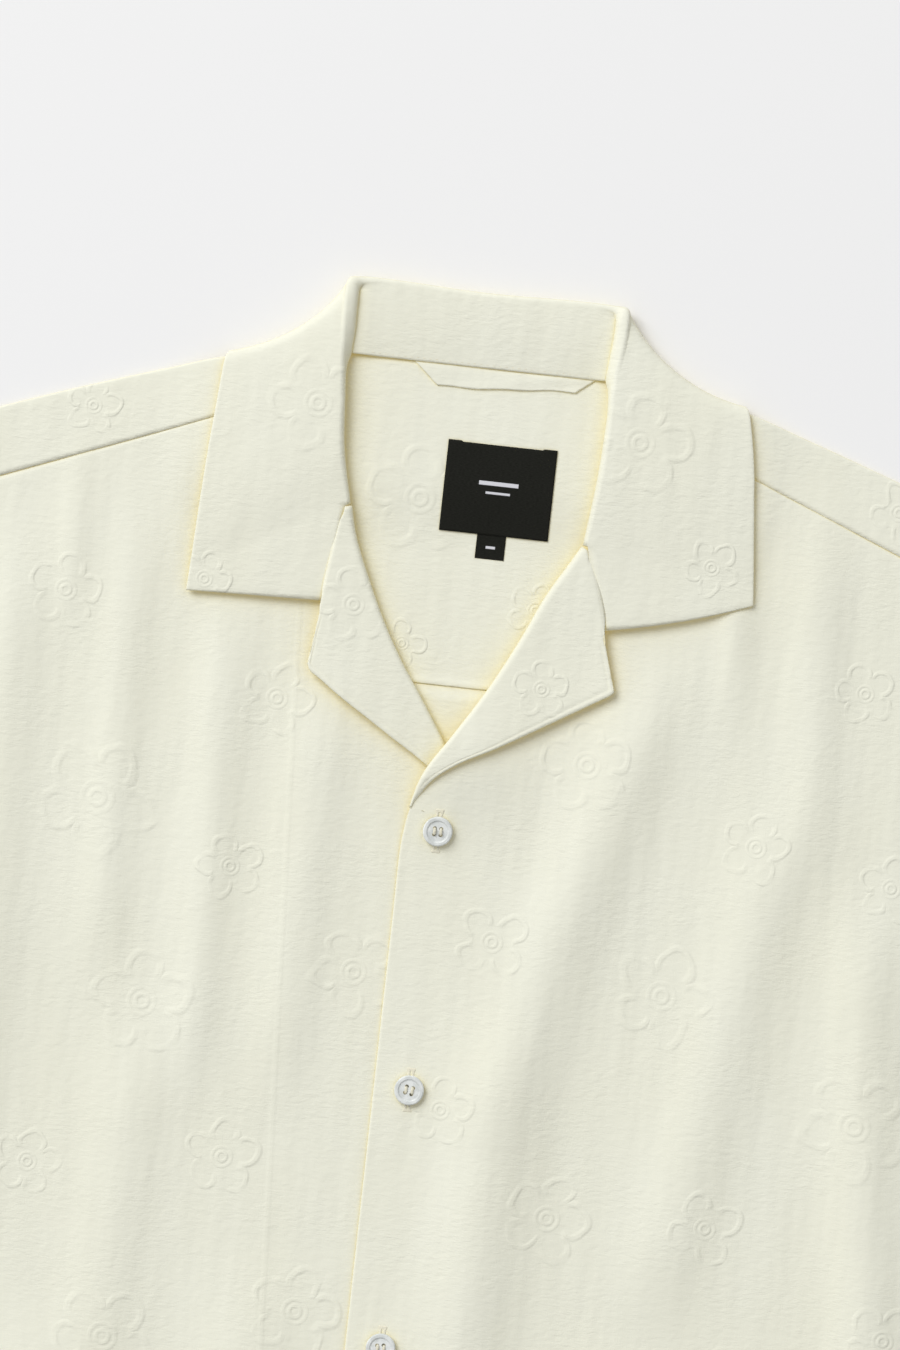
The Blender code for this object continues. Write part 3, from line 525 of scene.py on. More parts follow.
# Fronts: each cut in one with its lapel, which rolls outwards from the neck. They close down
# the middle, the wearer's left over the right, with a clean folded edge and no placket seam.
SIDES = ((-1, "right"), (1, "left"))
FRONT_EDGE = 15.0  # each front reaches this far past the button line
BUTTON_YS = (-229.5, -340.0, -450.0, -560.0)
BUTTON_RISE = 0.45  # cloth drawn up to each button's underside
FRONT_ARM_YS = (-299.8, -290, -275, -255, -230, -215, -200, -184, -168, -154, -140, -113)
LAPEL_TIP_LIFT = {-1: 4.6, 1: 3.8}
OVERLAP_RISE = 4.6  # soft rise of the left front over the right lapel
LAPELS = {
    # roll x, y, edge x, y, roll radius, from the break up to the gorge and the tip
    -1: ((4.5, -205, -0.4, -207.6, 0.9), (-1.8, -193.1, -12, -199.4, 1.1),
         (-13.6, -175.1, -25, -191.4, 1.3), (-24, -160, -37, -183.8, 1.5),
         (-34, -142.6, -47.5, -177.2, 1.7), (-43, -123.6, -56, -171.2, 1.9),
         (-48.9, -109.4, -61, -167.8, 2), (-52.2, -96.6, -62.6, -164.8, 2)),
    1: ((-12.9, -220.6, -12.6, -221.2, 0.3), (-11.6, -215.4, -10, -216, 0.5),
        (-8.6, -207.6, -4.2, -207.6, 0.8), (-4.6, -200, 6, -199.8, 1),
        (2.4, -189.4, 21, -191.8, 1.2), (15.5, -167.7, 38.5, -181.4, 1.5),
        (26.5, -146, 51, -173.8, 1.7), (35.2, -126.4, 60.5, -168, 1.9),
        (42.6, -113.4, 66, -164.6, 2), (48.3, -103.4, 67.8, -162.8, 2)),
}
NECK_EDGES = {
    # neck edge of each front from the gorge up to the shoulder seam
    -1: ((-56.1, -94.6), (-60.9, -73.8), (-63.4, -51.2), (-64.2, -46.4)),
    1: ((52.1, -101.2), (54.9, -74.4), (56.1, -51.2), (56.4, -43.4)),
}
BREAKS = {
    # front edge between the straight closing and the start of the roll
    -1: ((15, -246), (14, -232), (9.5, -218)),
    1: ((-15.1, -246), (-14.8, -236), (-13.9, -227.5)),
}
FRONT_FLOWERS = {
    # centre x, y, radius, petals, turn in degrees
    -1: ((-168, -145, 17, 5, 10), (-145, -231, 27, 5, 60), (-86, -254, 15, 5, 35),
         (-74, -181, 17, 5, 0), (-117, -315, 23, 5, 20), (-29, -293, 20, 5, 45),
         (-158, -388, 15, 5, 80), (-76, -377, 17, 5, 15), (-118, -458, 23, 5, 50),
         (-38, -439, 21, 5, 5), (-245, -250, 22, 5, 30), (-228, -430, 18, 4, 0),
         (-196, -510, 24, 5, 75), (-90, -530, 16, 5, 40), (-40, -565, 22, 4, 20),
         (-150, -610, 22, 5, 10), (-80, -640, 15, 5, 60), (-225, -620, 17, 5, 25),
         (-225, -330, 14, 5, 66)),
    1: ((60, -195, 21, 5, 25), (135, -222, 16, 5, 5), (28, -274, 17, 4, 40),
        (102, -289, 23, 5, 70), (14, -347, 15, 5, 15), (189, -335, 25, 5, 50),
        (64, -388, 20, 5, 0), (131, -385, 17, 4, 22), (174, -152, 14, 5, 35),
        (194, -233, 15, 5, 12), (211, -424, 17, 5, 60), (150, -455, 22, 5, 31),
        (60, -470, 16, 5, 45), (100, -540, 24, 5, 10), (200, -520, 16, 4, 5),
        (40, -600, 20, 5, 75), (160, -610, 17, 5, 20), (225, -620, 22, 5, 40),
        (95, -650, 14, 4, 0), (250, -300, 12, 5, 0)),
}
FACING_FLOWERS = {-1: ((-46, -138, 17, 5, 30),), 1: ((37, -165, 13, 5, 20),)}
FACING_LINE = (-68.9, -138.5, -54.0, -400.0)  # facing's edge, felt through the right front


def front_surface(side):
    """The height of one front: the wearer's left adds a layer near its edge and a soft rise
    over the other lapel."""
    def height(x, y):
        """Middle of this front at x, y."""
        if side < 0:
            return front_height(x, y)
        band = LAYER * (1 - smooth(18, 52, x))
        hump = OVERLAP_RISE * np.exp(-((x - 0.5) / 25) ** 2 - ((y + 201) / 25) ** 2)
        to_button = np.min([np.hypot(x, y - at) for at in BUTTON_YS], axis=0)
        return front_height(x, y) + band + hump + BUTTON_RISE * np.exp(-(to_button / 9) ** 2)
    return height


def refine(rows, counts):
    """Smooth rows through a table's rows: cubic pieces, each cut into its own count."""
    rows = np.asarray(rows, float)
    q = np.concatenate([k + np.arange(c) / c for k, c in enumerate(counts)]
                       + [[len(rows) - 1]])
    slope = np.gradient(rows, axis=0)
    i = np.minimum(q.astype(int), len(rows) - 2)
    t = (q - i).reshape((-1,) + (1,) * (rows.ndim - 1))
    return cubic(rows[i], rows[i + 1], slope[i], slope[i + 1], t)


def unit(vectors):
    """Vectors scaled to a length of 1."""
    return vectors / np.linalg.norm(vectors, axis=-1, keepdims=True)


def run_lengths(points):
    """Distance travelled along each row of points."""
    steps = np.linalg.norm(np.diff(points, axis=1), axis=2)
    return np.concatenate([np.zeros((len(points), 1)), np.cumsum(steps, axis=1)], axis=1)


def to_edge(lengths, count, near=(3.2, 2.6, 2.0, 1.5, 1.1, 0.8, 0.5, 0.25, 0.0)):
    """Shares from 0 to 1 along rows of the given lengths, even at first and close together
    in the last few millimetres."""
    near = np.array(near)[None, :]
    scale = np.minimum(1, 0.6 * lengths / near.max())[:, None]
    last = 1 - near * scale / lengths[:, None]
    first = last[:, :1] * np.linspace(0, 1, count)[None, :-1]
    return np.concatenate([first, last], axis=1)


def edge_round(distance, radius):
    """1 inside, falling to 0 at an edge like a quarter circle of the given radius."""
    t = np.clip(distance / radius, 0, 1)
    return np.sqrt(1 - (1 - t) ** 2)


def lapel_grid(rows, side, height, inside=7.0):
    """Rows across a lapel: a few millimetres of the body, half a squarish ellipse round the
    roll, then the turned lapel to its free edge. Gives points and distance from that edge."""
    roll, edge, radius = rows[:, 0:2], rows[:, 2:4], rows[:, 4:5]
    way = unit(np.gradient(roll, axis=0))
    outward = np.stack([way[:, 1], -way[:, 0]], axis=1) * side
    inset = roll + outward * radius
    low = height(inset[:, 0], inset[:, 1])[:, None]
    angle = np.radians(np.linspace(90, -90, 17))[None, :]
    reach = np.abs(np.cos(angle)) ** 0.7
    arc_xy = inset[:, None] - (outward * radius)[:, None] * reach[..., None]
    arc_z = low + radius * (1 - np.sign(np.sin(angle)) * np.abs(np.sin(angle)) ** 0.7)
    start = arc_xy[:, -1]
    share = to_edge(np.linalg.norm(edge - start, axis=1), 22)[:, 1:]
    xy = blend(start[:, None], edge[:, None], share[..., None])
    tip = LAPEL_TIP_LIFT[side] * smooth(0.3, 1.6, radius)
    z = height(xy[..., 0], xy[..., 1]) + 2 * radius * (1 - share) + tip * share
    back = np.linspace(inside, 0, 5)[None, :-1, None]
    body_xy = inset[:, None] + outward[:, None] * back
    points = np.concatenate([
        np.concatenate([body_xy, height(body_xy[..., 0], body_xy[..., 1])[..., None]], 2),
        np.concatenate([arc_xy, arc_z[..., None]], 2), np.concatenate([xy, z[..., None]], 2)],
        axis=1)
    travelled = run_lengths(points)
    return points, travelled[:, -1:] - travelled


BODY_COLUMNS = 4  # columns of lapel_grid that lie on the body
SIDE_RIM = (
    # outer columns of a front: place off the armhole, place off the side seam, drop there
    (-0.2, 0.1, 1.3), (-0.7, 0.05, 0.9), (-1.3, -0.3, 0.5), (-2.0, -1.2, 0.15),
)
ALLOWANCE = ((0.4, 0.04), (1.1, 0.3), (3.0, 0.6))  # past the seam, and down


def front_grids(side):
    """Body and lapel of a front. The body's rows run straight from the side seam and armhole
    to the front edge, the roll and the neck edge; the lapel's rows go on from there."""
    height = front_surface(side)
    edge_x = -side * FRONT_EDGE
    below = [(edge_x, y) for y in np.linspace(HEM_Y, -262, 10)] + list(BREAKS[side])
    lapel_rows = np.array(LAPELS[side], float)
    coarse = lapel_grid(lapel_rows, side, height)[0][:, BODY_COLUMNS, :2]
    inner = np.array(below + [tuple(p) for p in coarse] + list(NECK_EDGES[side]), float)
    arm_rows = np.linspace(0, len(FRONT_ARM_YS) - 1, len(coarse) + len(NECK_EDGES[side]))
    arm_y = np.interp(arm_rows, np.arange(len(FRONT_ARM_YS)), FRONT_ARM_YS)
    outer_y = np.concatenate([np.linspace(HEM_Y, -311, len(below)), arm_y])[:, None]
    steps = np.maximum(np.linalg.norm(np.diff(inner, axis=0), axis=1),
                       np.abs(np.diff(outer_y[:, 0])))
    counts = np.maximum(2, np.ceil(steps / STEP)).astype(int)
    first, last = len(below), len(below) + len(coarse) - 1
    lapel, to_free = lapel_grid(refine(lapel_rows, counts[first:last]), side, height)
    inner = refine(inner, counts)
    outer_y = refine(outer_y, counts)[:, 0]
    first_row = int(counts[:first].sum())
    roll_rows = slice(first_row, first_row + len(lapel))
    inner[roll_rows] = lapel[:, BODY_COLUMNS, :2]
    outer_x = side_x(outer_y)
    curl = 1 - smooth(UNDERARM_Y - 8, UNDERARM_Y, outer_y)
    flat_x = side * (outer_x - 3.0)
    length = np.hypot(inner[:, 0] - flat_x, inner[:, 1] - outer_y)
    share = to_edge(length, 104, near=(4.2, 3.0, 2.1, 1.4, 0.9, 0.6, 0.35, 0.15, 0.0))
    x = blend(flat_x[:, None], inner[:, :1], share)
    y = blend(outer_y[:, None], inner[:, 1:], share)
    z = height(x, y)
    folded = np.arange(len(inner)) < first_row
    fade = folded * np.clip((first_row - np.arange(len(inner))) / 6, 0, 1)
    z = z - 0.5 * fade[:, None] * (1 - edge_round((1 - share) * length[:, None], 0.9))
    z[roll_rows, -1] = lapel[:, BODY_COLUMNS, 2]
    rims = []
    for flat, curled, drop in SIDE_RIM:
        rim_x = side * (outer_x + blend(flat, curled, curl))
        rims.append(np.stack([rim_x, outer_y, height(rim_x, outer_y) - drop * curl], axis=1))
    body = np.concatenate([np.stack(rims, axis=1), np.stack([x, y, z], axis=-1)], axis=1)
    return allowance(body, np.array([0.0, 1.0, 0.0]), np.ones(body.shape[1])), lapel, to_free


def allowance(rows, way, share):
    """Three more rows past the last one: the seam allowance, which runs on along way and dips
    under the piece that it is sewn to, by its share at each column."""
    steps = np.array(ALLOWANCE)
    moved = steps[:, :1, None] * way - steps[:, 1:, None] * np.array([0, 0, 1.0])
    return np.concatenate([rows, rows[-1][None] + moved * share[None, :, None]])


FACING_LIFT = 0.85  # facing over the front's own ply on the lapel
FACING_GROOVE = 0.26  # along the seam that joins facing and front
COLLAR_CLOTH = crepe_cloth("collar_crepe")
for side, name in SIDES:
    body, lapel, to_free = front_grids(side)
    to_break = run_lengths(lapel.transpose(1, 0, 2)).T
    to_gorge = to_break[-1:] - to_break + 99 * smooth(-141, -136, lapel[-1:, :, 1])
    way = lapel[-1].mean(axis=0) - lapel[-2].mean(axis=0)
    past_roll = smooth(BODY_COLUMNS + 17, BODY_COLUMNS + 22, np.arange(lapel.shape[1]))
    lapel = allowance(lapel, unit(way * [1, 1, 0]),
                      past_roll * smooth(-142, -132, lapel[-1, :, 1]))
    to_free = np.concatenate([np.minimum(to_free, to_gorge), to_free[-1:].repeat(3, axis=0)])
    to_break = np.concatenate([to_break, to_break[-1:].repeat(3, axis=0)])
    groove = FACING_GROOVE * np.exp(-((to_free - 2.3) / 0.45) ** 2)
    facing_lift = smooth(0, 16, to_break) * (FACING_LIFT * edge_round(to_free, 1.4) - groove)
    grids = [patch(*np.moveaxis(body, -1, 0)),
             patch(*np.moveaxis(lapel[:, BODY_COLUMNS:], -1, 0)),
             patch(*np.moveaxis(lapel, -1, 0), lift=facing_lift)]
    if side > 0:
        grids = [{key: value[::-1] for key, value in grid.items()} for grid in grids]
    front = sew("front_panel_" + name, grids[:2], BODY_CLOTH, flowers=FRONT_FLOWERS[side],
                impression=FACING_LINE if side < 0 else NO_LINE)
    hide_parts("front_" + name)
    facing = sew("lapel_facing_" + name, grids[2:], COLLAR_CLOTH, flowers=FACING_FLOWERS[side])
    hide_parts("facing_" + name)

# Collar: an upper and an under collar sewn together round the leaf, turned and pressed. It
# stands a little inside the back neck, rolls over and lies open on the shoulders.
COLLAR_PLANS = {
    # stand x, y, fold x, y, mid x, y, outer x, y, from the centre back to the gorge
    -1: (
        (-3.5, -2.7, -3.5, -1.2, -3.5, -40, -3.5, -75),
        (-30, -2.1, -34, -0.6, -38, -40, -42, -76),
        (-49, -2, -54.5, -0.2, -66, -39, -78, -73),
        (-54, -2.3, -58.5, -0.2, -74, -37.5, -97, -58),
        (-56.9, -2.9, -60.6, -0.4, -79, -31.5, -106.3, -40.8),
        (-58.2, -4.2, -61.7, -1.2, -81.3, -27.8, -108, -38.4),
        (-58.8, -6.9, -62.2, -3, -83, -25.6, -109.4, -37.2),
        (-58.7, -11, -62.4, -6.2, -84.6, -26.8, -110.6, -38.2),
        (-58.8, -15.5, -62.4, -10.5, -86, -30, -111.6, -41.6),
        (-58.8, -23, -62.2, -19, -88, -40, -112.8, -58),
        (-59.2, -30.6, -61.6, -29, -88, -52, -114.1, -76),
        (-59.5, -33.2, -61.5, -32.4, -88, -55.4, -114.3, -79.6),
        (-61.2, -39, -60.8, -39, -87.5, -63, -114.8, -88),
        (-62.5, -50, -59.8, -50, -87, -77, -115.4, -101),
        (-60, -73.5, -57.6, -73, -86, -96, -116.2, -119),
        (-54.9, -96.4, -52.5, -96, -84, -112, -116.7, -130)),
    1: (
        (-3.5, -2.7, -3.5, -1.2, -3.5, -40, -3.5, -75),
        (23, -2.4, 27, -0.9, 31, -40, 35, -76),
        (41.5, -2.4, 46.5, -0.8, 58, -39, 71, -73),
        (47, -2.7, 51.4, -0.8, 69, -38, 92, -59),
        (50.3, -3.4, 53.8, -0.9, 75.5, -31.6, 105.6, -40.4),
        (51.5, -4.8, 54.9, -1.7, 78.8, -28.8, 108, -37.9),
        (51.9, -7.5, 55.4, -3.5, 81, -27.4, 109.5, -36.9),
        (51.9, -11.5, 55.4, -6.8, 82.8, -28.8, 111, -38),
        (51.8, -16, 55.3, -11, 84.4, -33, 112.3, -41.8),
        (51.2, -23.5, 54.5, -19.5, 86, -42, 114.8, -54),
        (50.6, -30.6, 53, -29, 86, -52, 116.8, -67),
        (50.9, -33.2, 52.8, -32.4, 86.2, -54.6, 117.1, -70),
        (53.2, -39, 52.4, -39, 86.5, -61, 117.8, -77),
        (55.2, -50, 52.6, -50, 87, -72, 118.8, -86),
        (54, -74, 51.4, -74, 88, -90, 120.4, -101),
        (50.8, -102.9, 48.5, -102.5, 88, -108, 121.6, -112)),
}
COLLAR_HEIGHTS = (
    # stand below the fold, fold, leaf past it, leaf middle, leaf edge, leaf inset, rise
    (6.2, 3.9, 1.6, 1.35, 1.3, 2.4, 0),
    (6.2, 3.9, 1.6, 1.35, 1.3, 2.4, 0),
    (6.4, 4.3, 1.65, 1.35, 1.3, 2.5, 0.1),
    (6.4, 5.2, 2.1, 1.35, 1.3, 2.6, 0.3),
    (6.3, 6.6, 3, 1.4, 1.3, 2.6, 0.5),
    (6.1, 8.2, 4.6, 2.2, 2, 2.6, 0.7),
    (5.9, 9.4, 6.6, 4.9, 4.25, 2.6, 0.8),
    (5.7, 10, 8.2, 7.2, 6.4, 2.6, 0.9),
    (5.5, 10.3, 9.2, 8.5, 7.4, 2.6, 0.9),
    (5.3, 10.4, 10, 9.1, 7.5, 2.6, 0.75),
    (5.1, 9.8, 10.4, 9.3, 7.4, 2.5, 0.75),
    (5, 9.5, 10.5, 9.3, 7.3, 2.5, 0.6),
    (5, 8.9, 10.6, 9.2, 7.2, 2.5, 0.4),
    (5.2, 8, 10.4, 9, 6.9, 2.4, 0),
    (5.2, 7.5, 9.8, 8, 6.2, 2.3, 0),
    (4.2, 5.9, 7.5, 6.3, 5.4, 1.3, 0),
)
STAND_CORNER = 10  # section where the stand's end meets the neck seam
STAND_END = 6  # section where the stand's end meets the back fold
COLLAR_ENDS = {
    # end of each leaf below the gorge: seam to the lapel, middle and outer edge, x, y, z
    -1: ((-55.8, -118, 6.1, -85, -127, 5.8, -117, -136, 5.2),
         (-58.6, -137.7, 5.4, -87, -138.6, 5.4, -117.1, -139.5, 5)),
    1: ((54, -119.6, 6.1, 90, -120.5, 5.8, 122.1, -117, 5.2),
        (59.8, -137.6, 5.4, 91.5, -130.4, 5.4, 122.3, -120, 5)),
}
COLLAR_LIFT = 0.5  # each collar ply's distance from the middle of the two
COLLAR_FLOWERS = ((-110, -134, 13, 5, 0), (-70, -55, 22, 5, 40), (67, -57, 23, 5, 10),
                  (103, -106, 13, 5, 50))
LEAF_COUNT = 20
ARC_COUNT = 9


def leaf_rows(start, mid, end):
    """Smooth rows through three points each, with points close together at the outer edge."""
    share = to_edge(np.linalg.norm(end - start, axis=1), LEAF_COUNT)[..., None]
    return (start[:, None] * (1 - share) * (1 - 2 * share) + mid[:, None] * 4 * share
            * (1 - share) + end[:, None] * share * (2 * share - 1))


def roll_arc(stand, fold, leaf, mid, rise):
    """Columns over the roll: smooth curves from the stand to the fold and on to the leaf.
    rise turns the start from level to straight up."""
    level = unit(leaf - mid) * [1, 1, 0]
    start_way = unit(level * (1 - rise) + np.array([0, 0, 1.0]) * rise)
    crest_way = unit(unit(fold - stand) + unit(leaf - fold))
    end_way = unit(mid - leaf)
    t = np.linspace(0, 1, ARC_COUNT)[None, :, None]
    halves = []
    for start, end, leaving, arriving in ((stand, fold, start_way, crest_way),
                                          (fold, leaf, crest_way, end_way)):
        pull = 1.17 * np.linalg.norm(end - start, axis=1)[:, None, None]
        halves.append(cubic(start[:, None], end[:, None], pull * leaving[:, None],
                            pull * arriving[:, None], t))
    return np.concatenate([halves[0], halves[1][:, 1:]], axis=1)


def neck_height(x):
    """Height of the stand's lower edge at the neck seam, rising towards its two ends."""
    return 3.75 + 1.3 * smooth(42, 60, np.abs(x))


def collar_grids():
    """The roll and leaf as sections from gorge to gorge, the stand inside the back of the
    neck, and the end of each leaf below the gorge."""
    plan = np.array(COLLAR_PLANS[-1][:0:-1] + COLLAR_PLANS[1], float)
    heights = np.array(COLLAR_HEIGHTS[:0:-1] + COLLAR_HEIGHTS, float)
    reach = np.maximum(np.linalg.norm(np.diff(plan[:, 2:4], axis=0), axis=1),
                       np.linalg.norm(np.diff(plan[:, 6:8], axis=0), axis=1))
    counts = np.maximum(2, np.ceil(reach / STEP)).astype(int)
    rows = np.concatenate([[0], np.cumsum(counts)])
    plan, heights = refine(plan, counts), refine(heights, counts)
    stand, fold, mid, outer = (plan[:, i:i + 2] for i in (0, 2, 4, 6))
    leaf = fold + heights[:, 5:6] * unit(mid - fold)
    stand, fold, leaf, mid, outer = (
        np.concatenate([xy, heights[:, i:i + 1]], axis=1)
        for i, xy in enumerate((stand, fold, leaf, mid, outer)))
    roll = np.concatenate([roll_arc(stand, fold, leaf, mid, heights[:, 6:7]),
                           leaf_rows(leaf, mid, outer)[:, 1:]], axis=1)
    ends = []
    for side, row in ((-1, 0), (1, -1)):
        start = np.concatenate([leaf[row], mid[row], outer[row]])
        fine = refine([start, *COLLAR_ENDS[side]], (9, 8))[1:]
        low = leaf_rows(fine[:, 0:3], fine[:, 3:6], fine[:, 6:9])
        strip = np.concatenate([roll[row, None, 2 * ARC_COUNT - 2:], low])
        ends.append(strip if side > 0 else strip[::-1])
    last = len(COLLAR_PLANS[-1]) - 1
    left = stand[rows[last - STAND_CORNER]:rows[last - STAND_END] + 1]
    right = stand[rows[last + STAND_END]:rows[last + STAND_CORNER] + 1][::-1]
    top = stand[rows[last - STAND_END]:rows[last + STAND_END] + 1]
    x = (top[:, 0] + np.linspace(left[0, 0], right[0, 0], len(top))) / 2
    neck = np.stack(np.broadcast_arrays(x, NECK_SEAM_Y - 0.8, neck_height(x)), axis=-1)
    share = ((left[:, 1] - left[0, 1]) / (left[-1, 1] - left[0, 1]))[None, :, None]
    right = right[np.round(np.linspace(0, len(right) - 1, len(left))).astype(int)]
    share = np.concatenate([share, share, 1 - (1 - share) ** 2], axis=-1)
    stand_grid = blend(neck[:, None], top[:, None], share)
    stand_grid[0], stand_grid[-1] = left, right
    return roll, stand_grid, ends


roll, stand_grid, ends = collar_grids()
across = run_lengths(roll)
grids = [(roll, across[:, -1:] - across),
         (stand_grid, np.broadcast_to(stand_grid[0, :, 1] - NECK_SEAM_Y + 0.2,
                                      stand_grid.shape[:2]))]
for grid in ends:
    travelled = run_lengths(grid)
    down = run_lengths(grid[:, -1:].transpose(1, 0, 2))[0][:, None]
    from_lower = down[-1] - down if grid[0, -1, 1] > grid[-1, -1, 1] else down
    grids.append((grid, np.minimum(travelled[:, -1:] - travelled, from_lower)))
for name, way in (("upper", 1), ("under", -1)):
    patches = [patch(*np.moveaxis(points, -1, 0),
                     lift=way * COLLAR_LIFT * (0.15 + 0.85 * edge_round(to_edges, 1.4)))
               for points, to_edges in grids]
    piece = sew(name + "_collar", patches, COLLAR_CLOTH, flowers=COLLAR_FLOWERS)
    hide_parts("collar_" + name)

# Sleeves: short set-in sleeves, each a tube pressed flat with its fold at the shoulder line
# and its seam at the underarm, and a deep turned hem held by one row of stitches.
SLEEVE_HEM_TOP = (415.0, -208.0)
SLEEVE_HEM_UNDER = (328.0, -346.0)
SLEEVE_HEM_DEPTH = 25.0
SLEEVE_LENGTH = 220.0
SLEEVE_PUFF = 0.9
ARMHOLE_LENGTH = 217.0
UNDERSIDE_SHIFT = 400  # the underside's place on the flat cloth
SLEEVE_FLOWERS = ((275, -170, 22, 5, 10), (322, -232, 16, 5, 40), (350, -190, 20, 4, 0),
                  (300, -285, 20, 5, 70))
for side, name in SIDES:
    s = spaced(SLEEVE_LENGTH, 3.2, marks=(SLEEVE_LENGTH - SLEEVE_HEM_DEPTH,))
    s = np.concatenate([[-2.4, -1.2, -0.4], s])
    tuck = smooth(0.6, -1.8, s)[:, None]
    rise = smooth(-1.0, 9.0, s)[:, None]
    s = (s / SLEEVE_LENGTH)[:, None]
    arm_y = np.concatenate([[-82.5, -82.8, -83.3, -84.2, -85.6], np.linspace(-88, -296, 68),
                            [-297.8, -298.9, -299.6, -300]])
    v = ((arm_y - arm_y[0]) / (arm_y[-1] - arm_y[0]))[None]
    arm_x = curve(ARMHOLE, arm_y)[None] + 0.6
    hem_x, hem_y = (blend(top, under, v) for top, under in zip(SLEEVE_HEM_TOP, SLEEVE_HEM_UNDER))
    x = side * blend(arm_x, hem_x, s)
    y = blend(arm_y[None], hem_y, s) - 10 * s * (1 - s) * (1 - v)
    top_z = front_height(x, y) + SLEEVE_PUFF * rise - 0.75 * tuck
    low_z = WALL / 2 + 0.5 * tuck + 0 * top_z
    swell = edge_round(np.minimum(v, 1 - v) * ARMHOLE_LENGTH, 2.4)
    mean = (top_z + low_z) / 2
    top = patch(x, y, mean + (top_z - mean) * swell)
    low = patch(x[:, ::-1], y[:, ::-1], (mean + (low_z - mean) * swell)[:, ::-1],
                u=x[:, ::-1] + UNDERSIDE_SHIFT * side)
    sleeve = sew("sleeve_panel_" + name, [top, low], BODY_CLOTH,
                 flowers=[(side * flower[0], *flower[1:]) for flower in SLEEVE_FLOWERS])
    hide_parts("sleeve_" + name)

# Neck label and size tag: black woven satin labels with folded ends, stitched to the inside
# of the yoke. They carry plain woven bars. The size tag is caught under the label's lower edge.
LABEL = dict(x=(-13.6, 32.9), y=(-102.4, -64.2), ply=0.35, lift=0.62, fold=6.0)
SIZE_TAG = dict(x=(2.8, 15.2), y=(-112.6, -101.4), ply=0.3, lift=0.42, fold=0.0)
BARS = ((9.6, -80.6, 8.4, 0.85), (9.6, -84.6, 5.2, 0.5), (9.0, -107.6, 2.0, 0.55))
BAR_SOFT = 0.12  # a bar fades out over this much on either side of its edge


def label_cloth():
    """Black satin weave: fine crosswise ribs, a faint mottle, and plain bars in pale thread,
    each where both |x - its middle| and |y - its middle| are under its half sizes."""
    made, tree, shader = start_material("woven_label")
    flat = add(tree, "UVMap", uv_map="cloth")
    ribs = noise(stretched(flat, 1.3, 0.28), 1.0)
    warp = noise(stretched(flat, 0.3, 2.2), 1.0)
    x, y = parts(flat, 2)
    bars = 0.0
    for middle_x, middle_y, half_x, half_y in BARS:
        inside = 1.0
        for value, middle, half in ((x, middle_x, half_x), (y, middle_y, half_y)):
            away = maths("ABSOLUTE", sum_of(value, -middle))
            inside = times(between(away, half - BAR_SOFT, half + BAR_SOFT, 1, 0), inside)
        bars = sum_of(inside, bars)
    dark = two_colours(ribs, (0.006, 0.0062, 0.0045), (0.015, 0.0155, 0.012))
    tree.links.new(two_colours(bars, dark, (0.62, 0.62, 0.66)), shader.inputs["Base Color"])
    emboss(shader, sum_of(times(ribs, 0.00010), times(warp, 0.00006), times(bars, 0.00008)))
    tree.links.new(between(ribs, 0.3, 0.7, 0.9, 0.7), shader.inputs["Roughness"])
    shader.inputs["Specular IOR Level"].default_value = 0.12
    return made


LABEL_CLOTH = label_cloth()
for name, node, size, flat in (("woven_label", "neck_label", LABEL, (0.0465, 0.0385)),
                               ("woven_size", "size_tag", SIZE_TAG, (0.0124, 0.0112))):
    x = np.linspace(*size["x"], 60)[None, :]
    y = np.linspace(*size["y"], 40)[:, None]
    to_end = np.minimum(x - size["x"][0], size["x"][1] - x)
    folded_end = 1 - smooth(size["fold"] - 0.4, size["fold"], to_end)
    y = y + 0.5 * folded_end * (y > size["y"][1] - 1)
    sag = 0.12 * np.sin(x / 5.3) * np.sin(y / 7.1 + 1)
    piece = sew(name, [patch(x, y, back_height(x, y) + size["lift"] + sag)], LABEL_CLOTH,
                ply=size["ply"])
    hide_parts(node)

# Hanger loop: a narrow folded strip of the shirt's own crepe, caught at both ends in the back
# neck seam. It lies flat, its lower edge a little wavy.
HANGER_TOP_X = (-31.9, 46.0)
HANGER_TOP_Y = -32.0
HANGER_LOW_X = (-21.0, 37.6)
HANGER_LOW_Y = (-41.6, -38.8)
HANGER_LIFT = 0.62
v = np.linspace(0, 1, 13)[:, None]
u = np.linspace(0, 1, 61)[None, :]
low_y = blend(*HANGER_LOW_Y, u) - 0.5 * np.sin(5.4 * u) + 0.22 * np.sin(17 * u)
x = blend(blend(*HANGER_TOP_X, u), blend(*HANGER_LOW_X, u), v)
y = blend(HANGER_TOP_Y, low_y, v)
z = back_height(x, y) + HANGER_LIFT * smooth(-0.3, 0.3, v) + 0.12 * np.sin(9 * u + 4 * v)
hanger = sew("hanger_strip", [patch(x, y, z)], COLLAR_CLOTH, ply=0.7)
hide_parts("hanger_loop")

# Buttons: four-hole pearly resin buttons, each held by thread through its holes, in upright
# buttonholes worked in satin stitch with a bar tack at both ends.
HOLE_APART = 2.7
STRANDS = (-0.32, 0.0, 0.32)  # the strands of thread over one pair of holes
BUTTONHOLE_LENGTH = 9.4  # half of it; the next is half the width
BUTTONHOLE_WIDTH = 1.9
BUTTONHOLE_HEIGHT = 0.34
SLIT = 0.35
TACK = 1.5


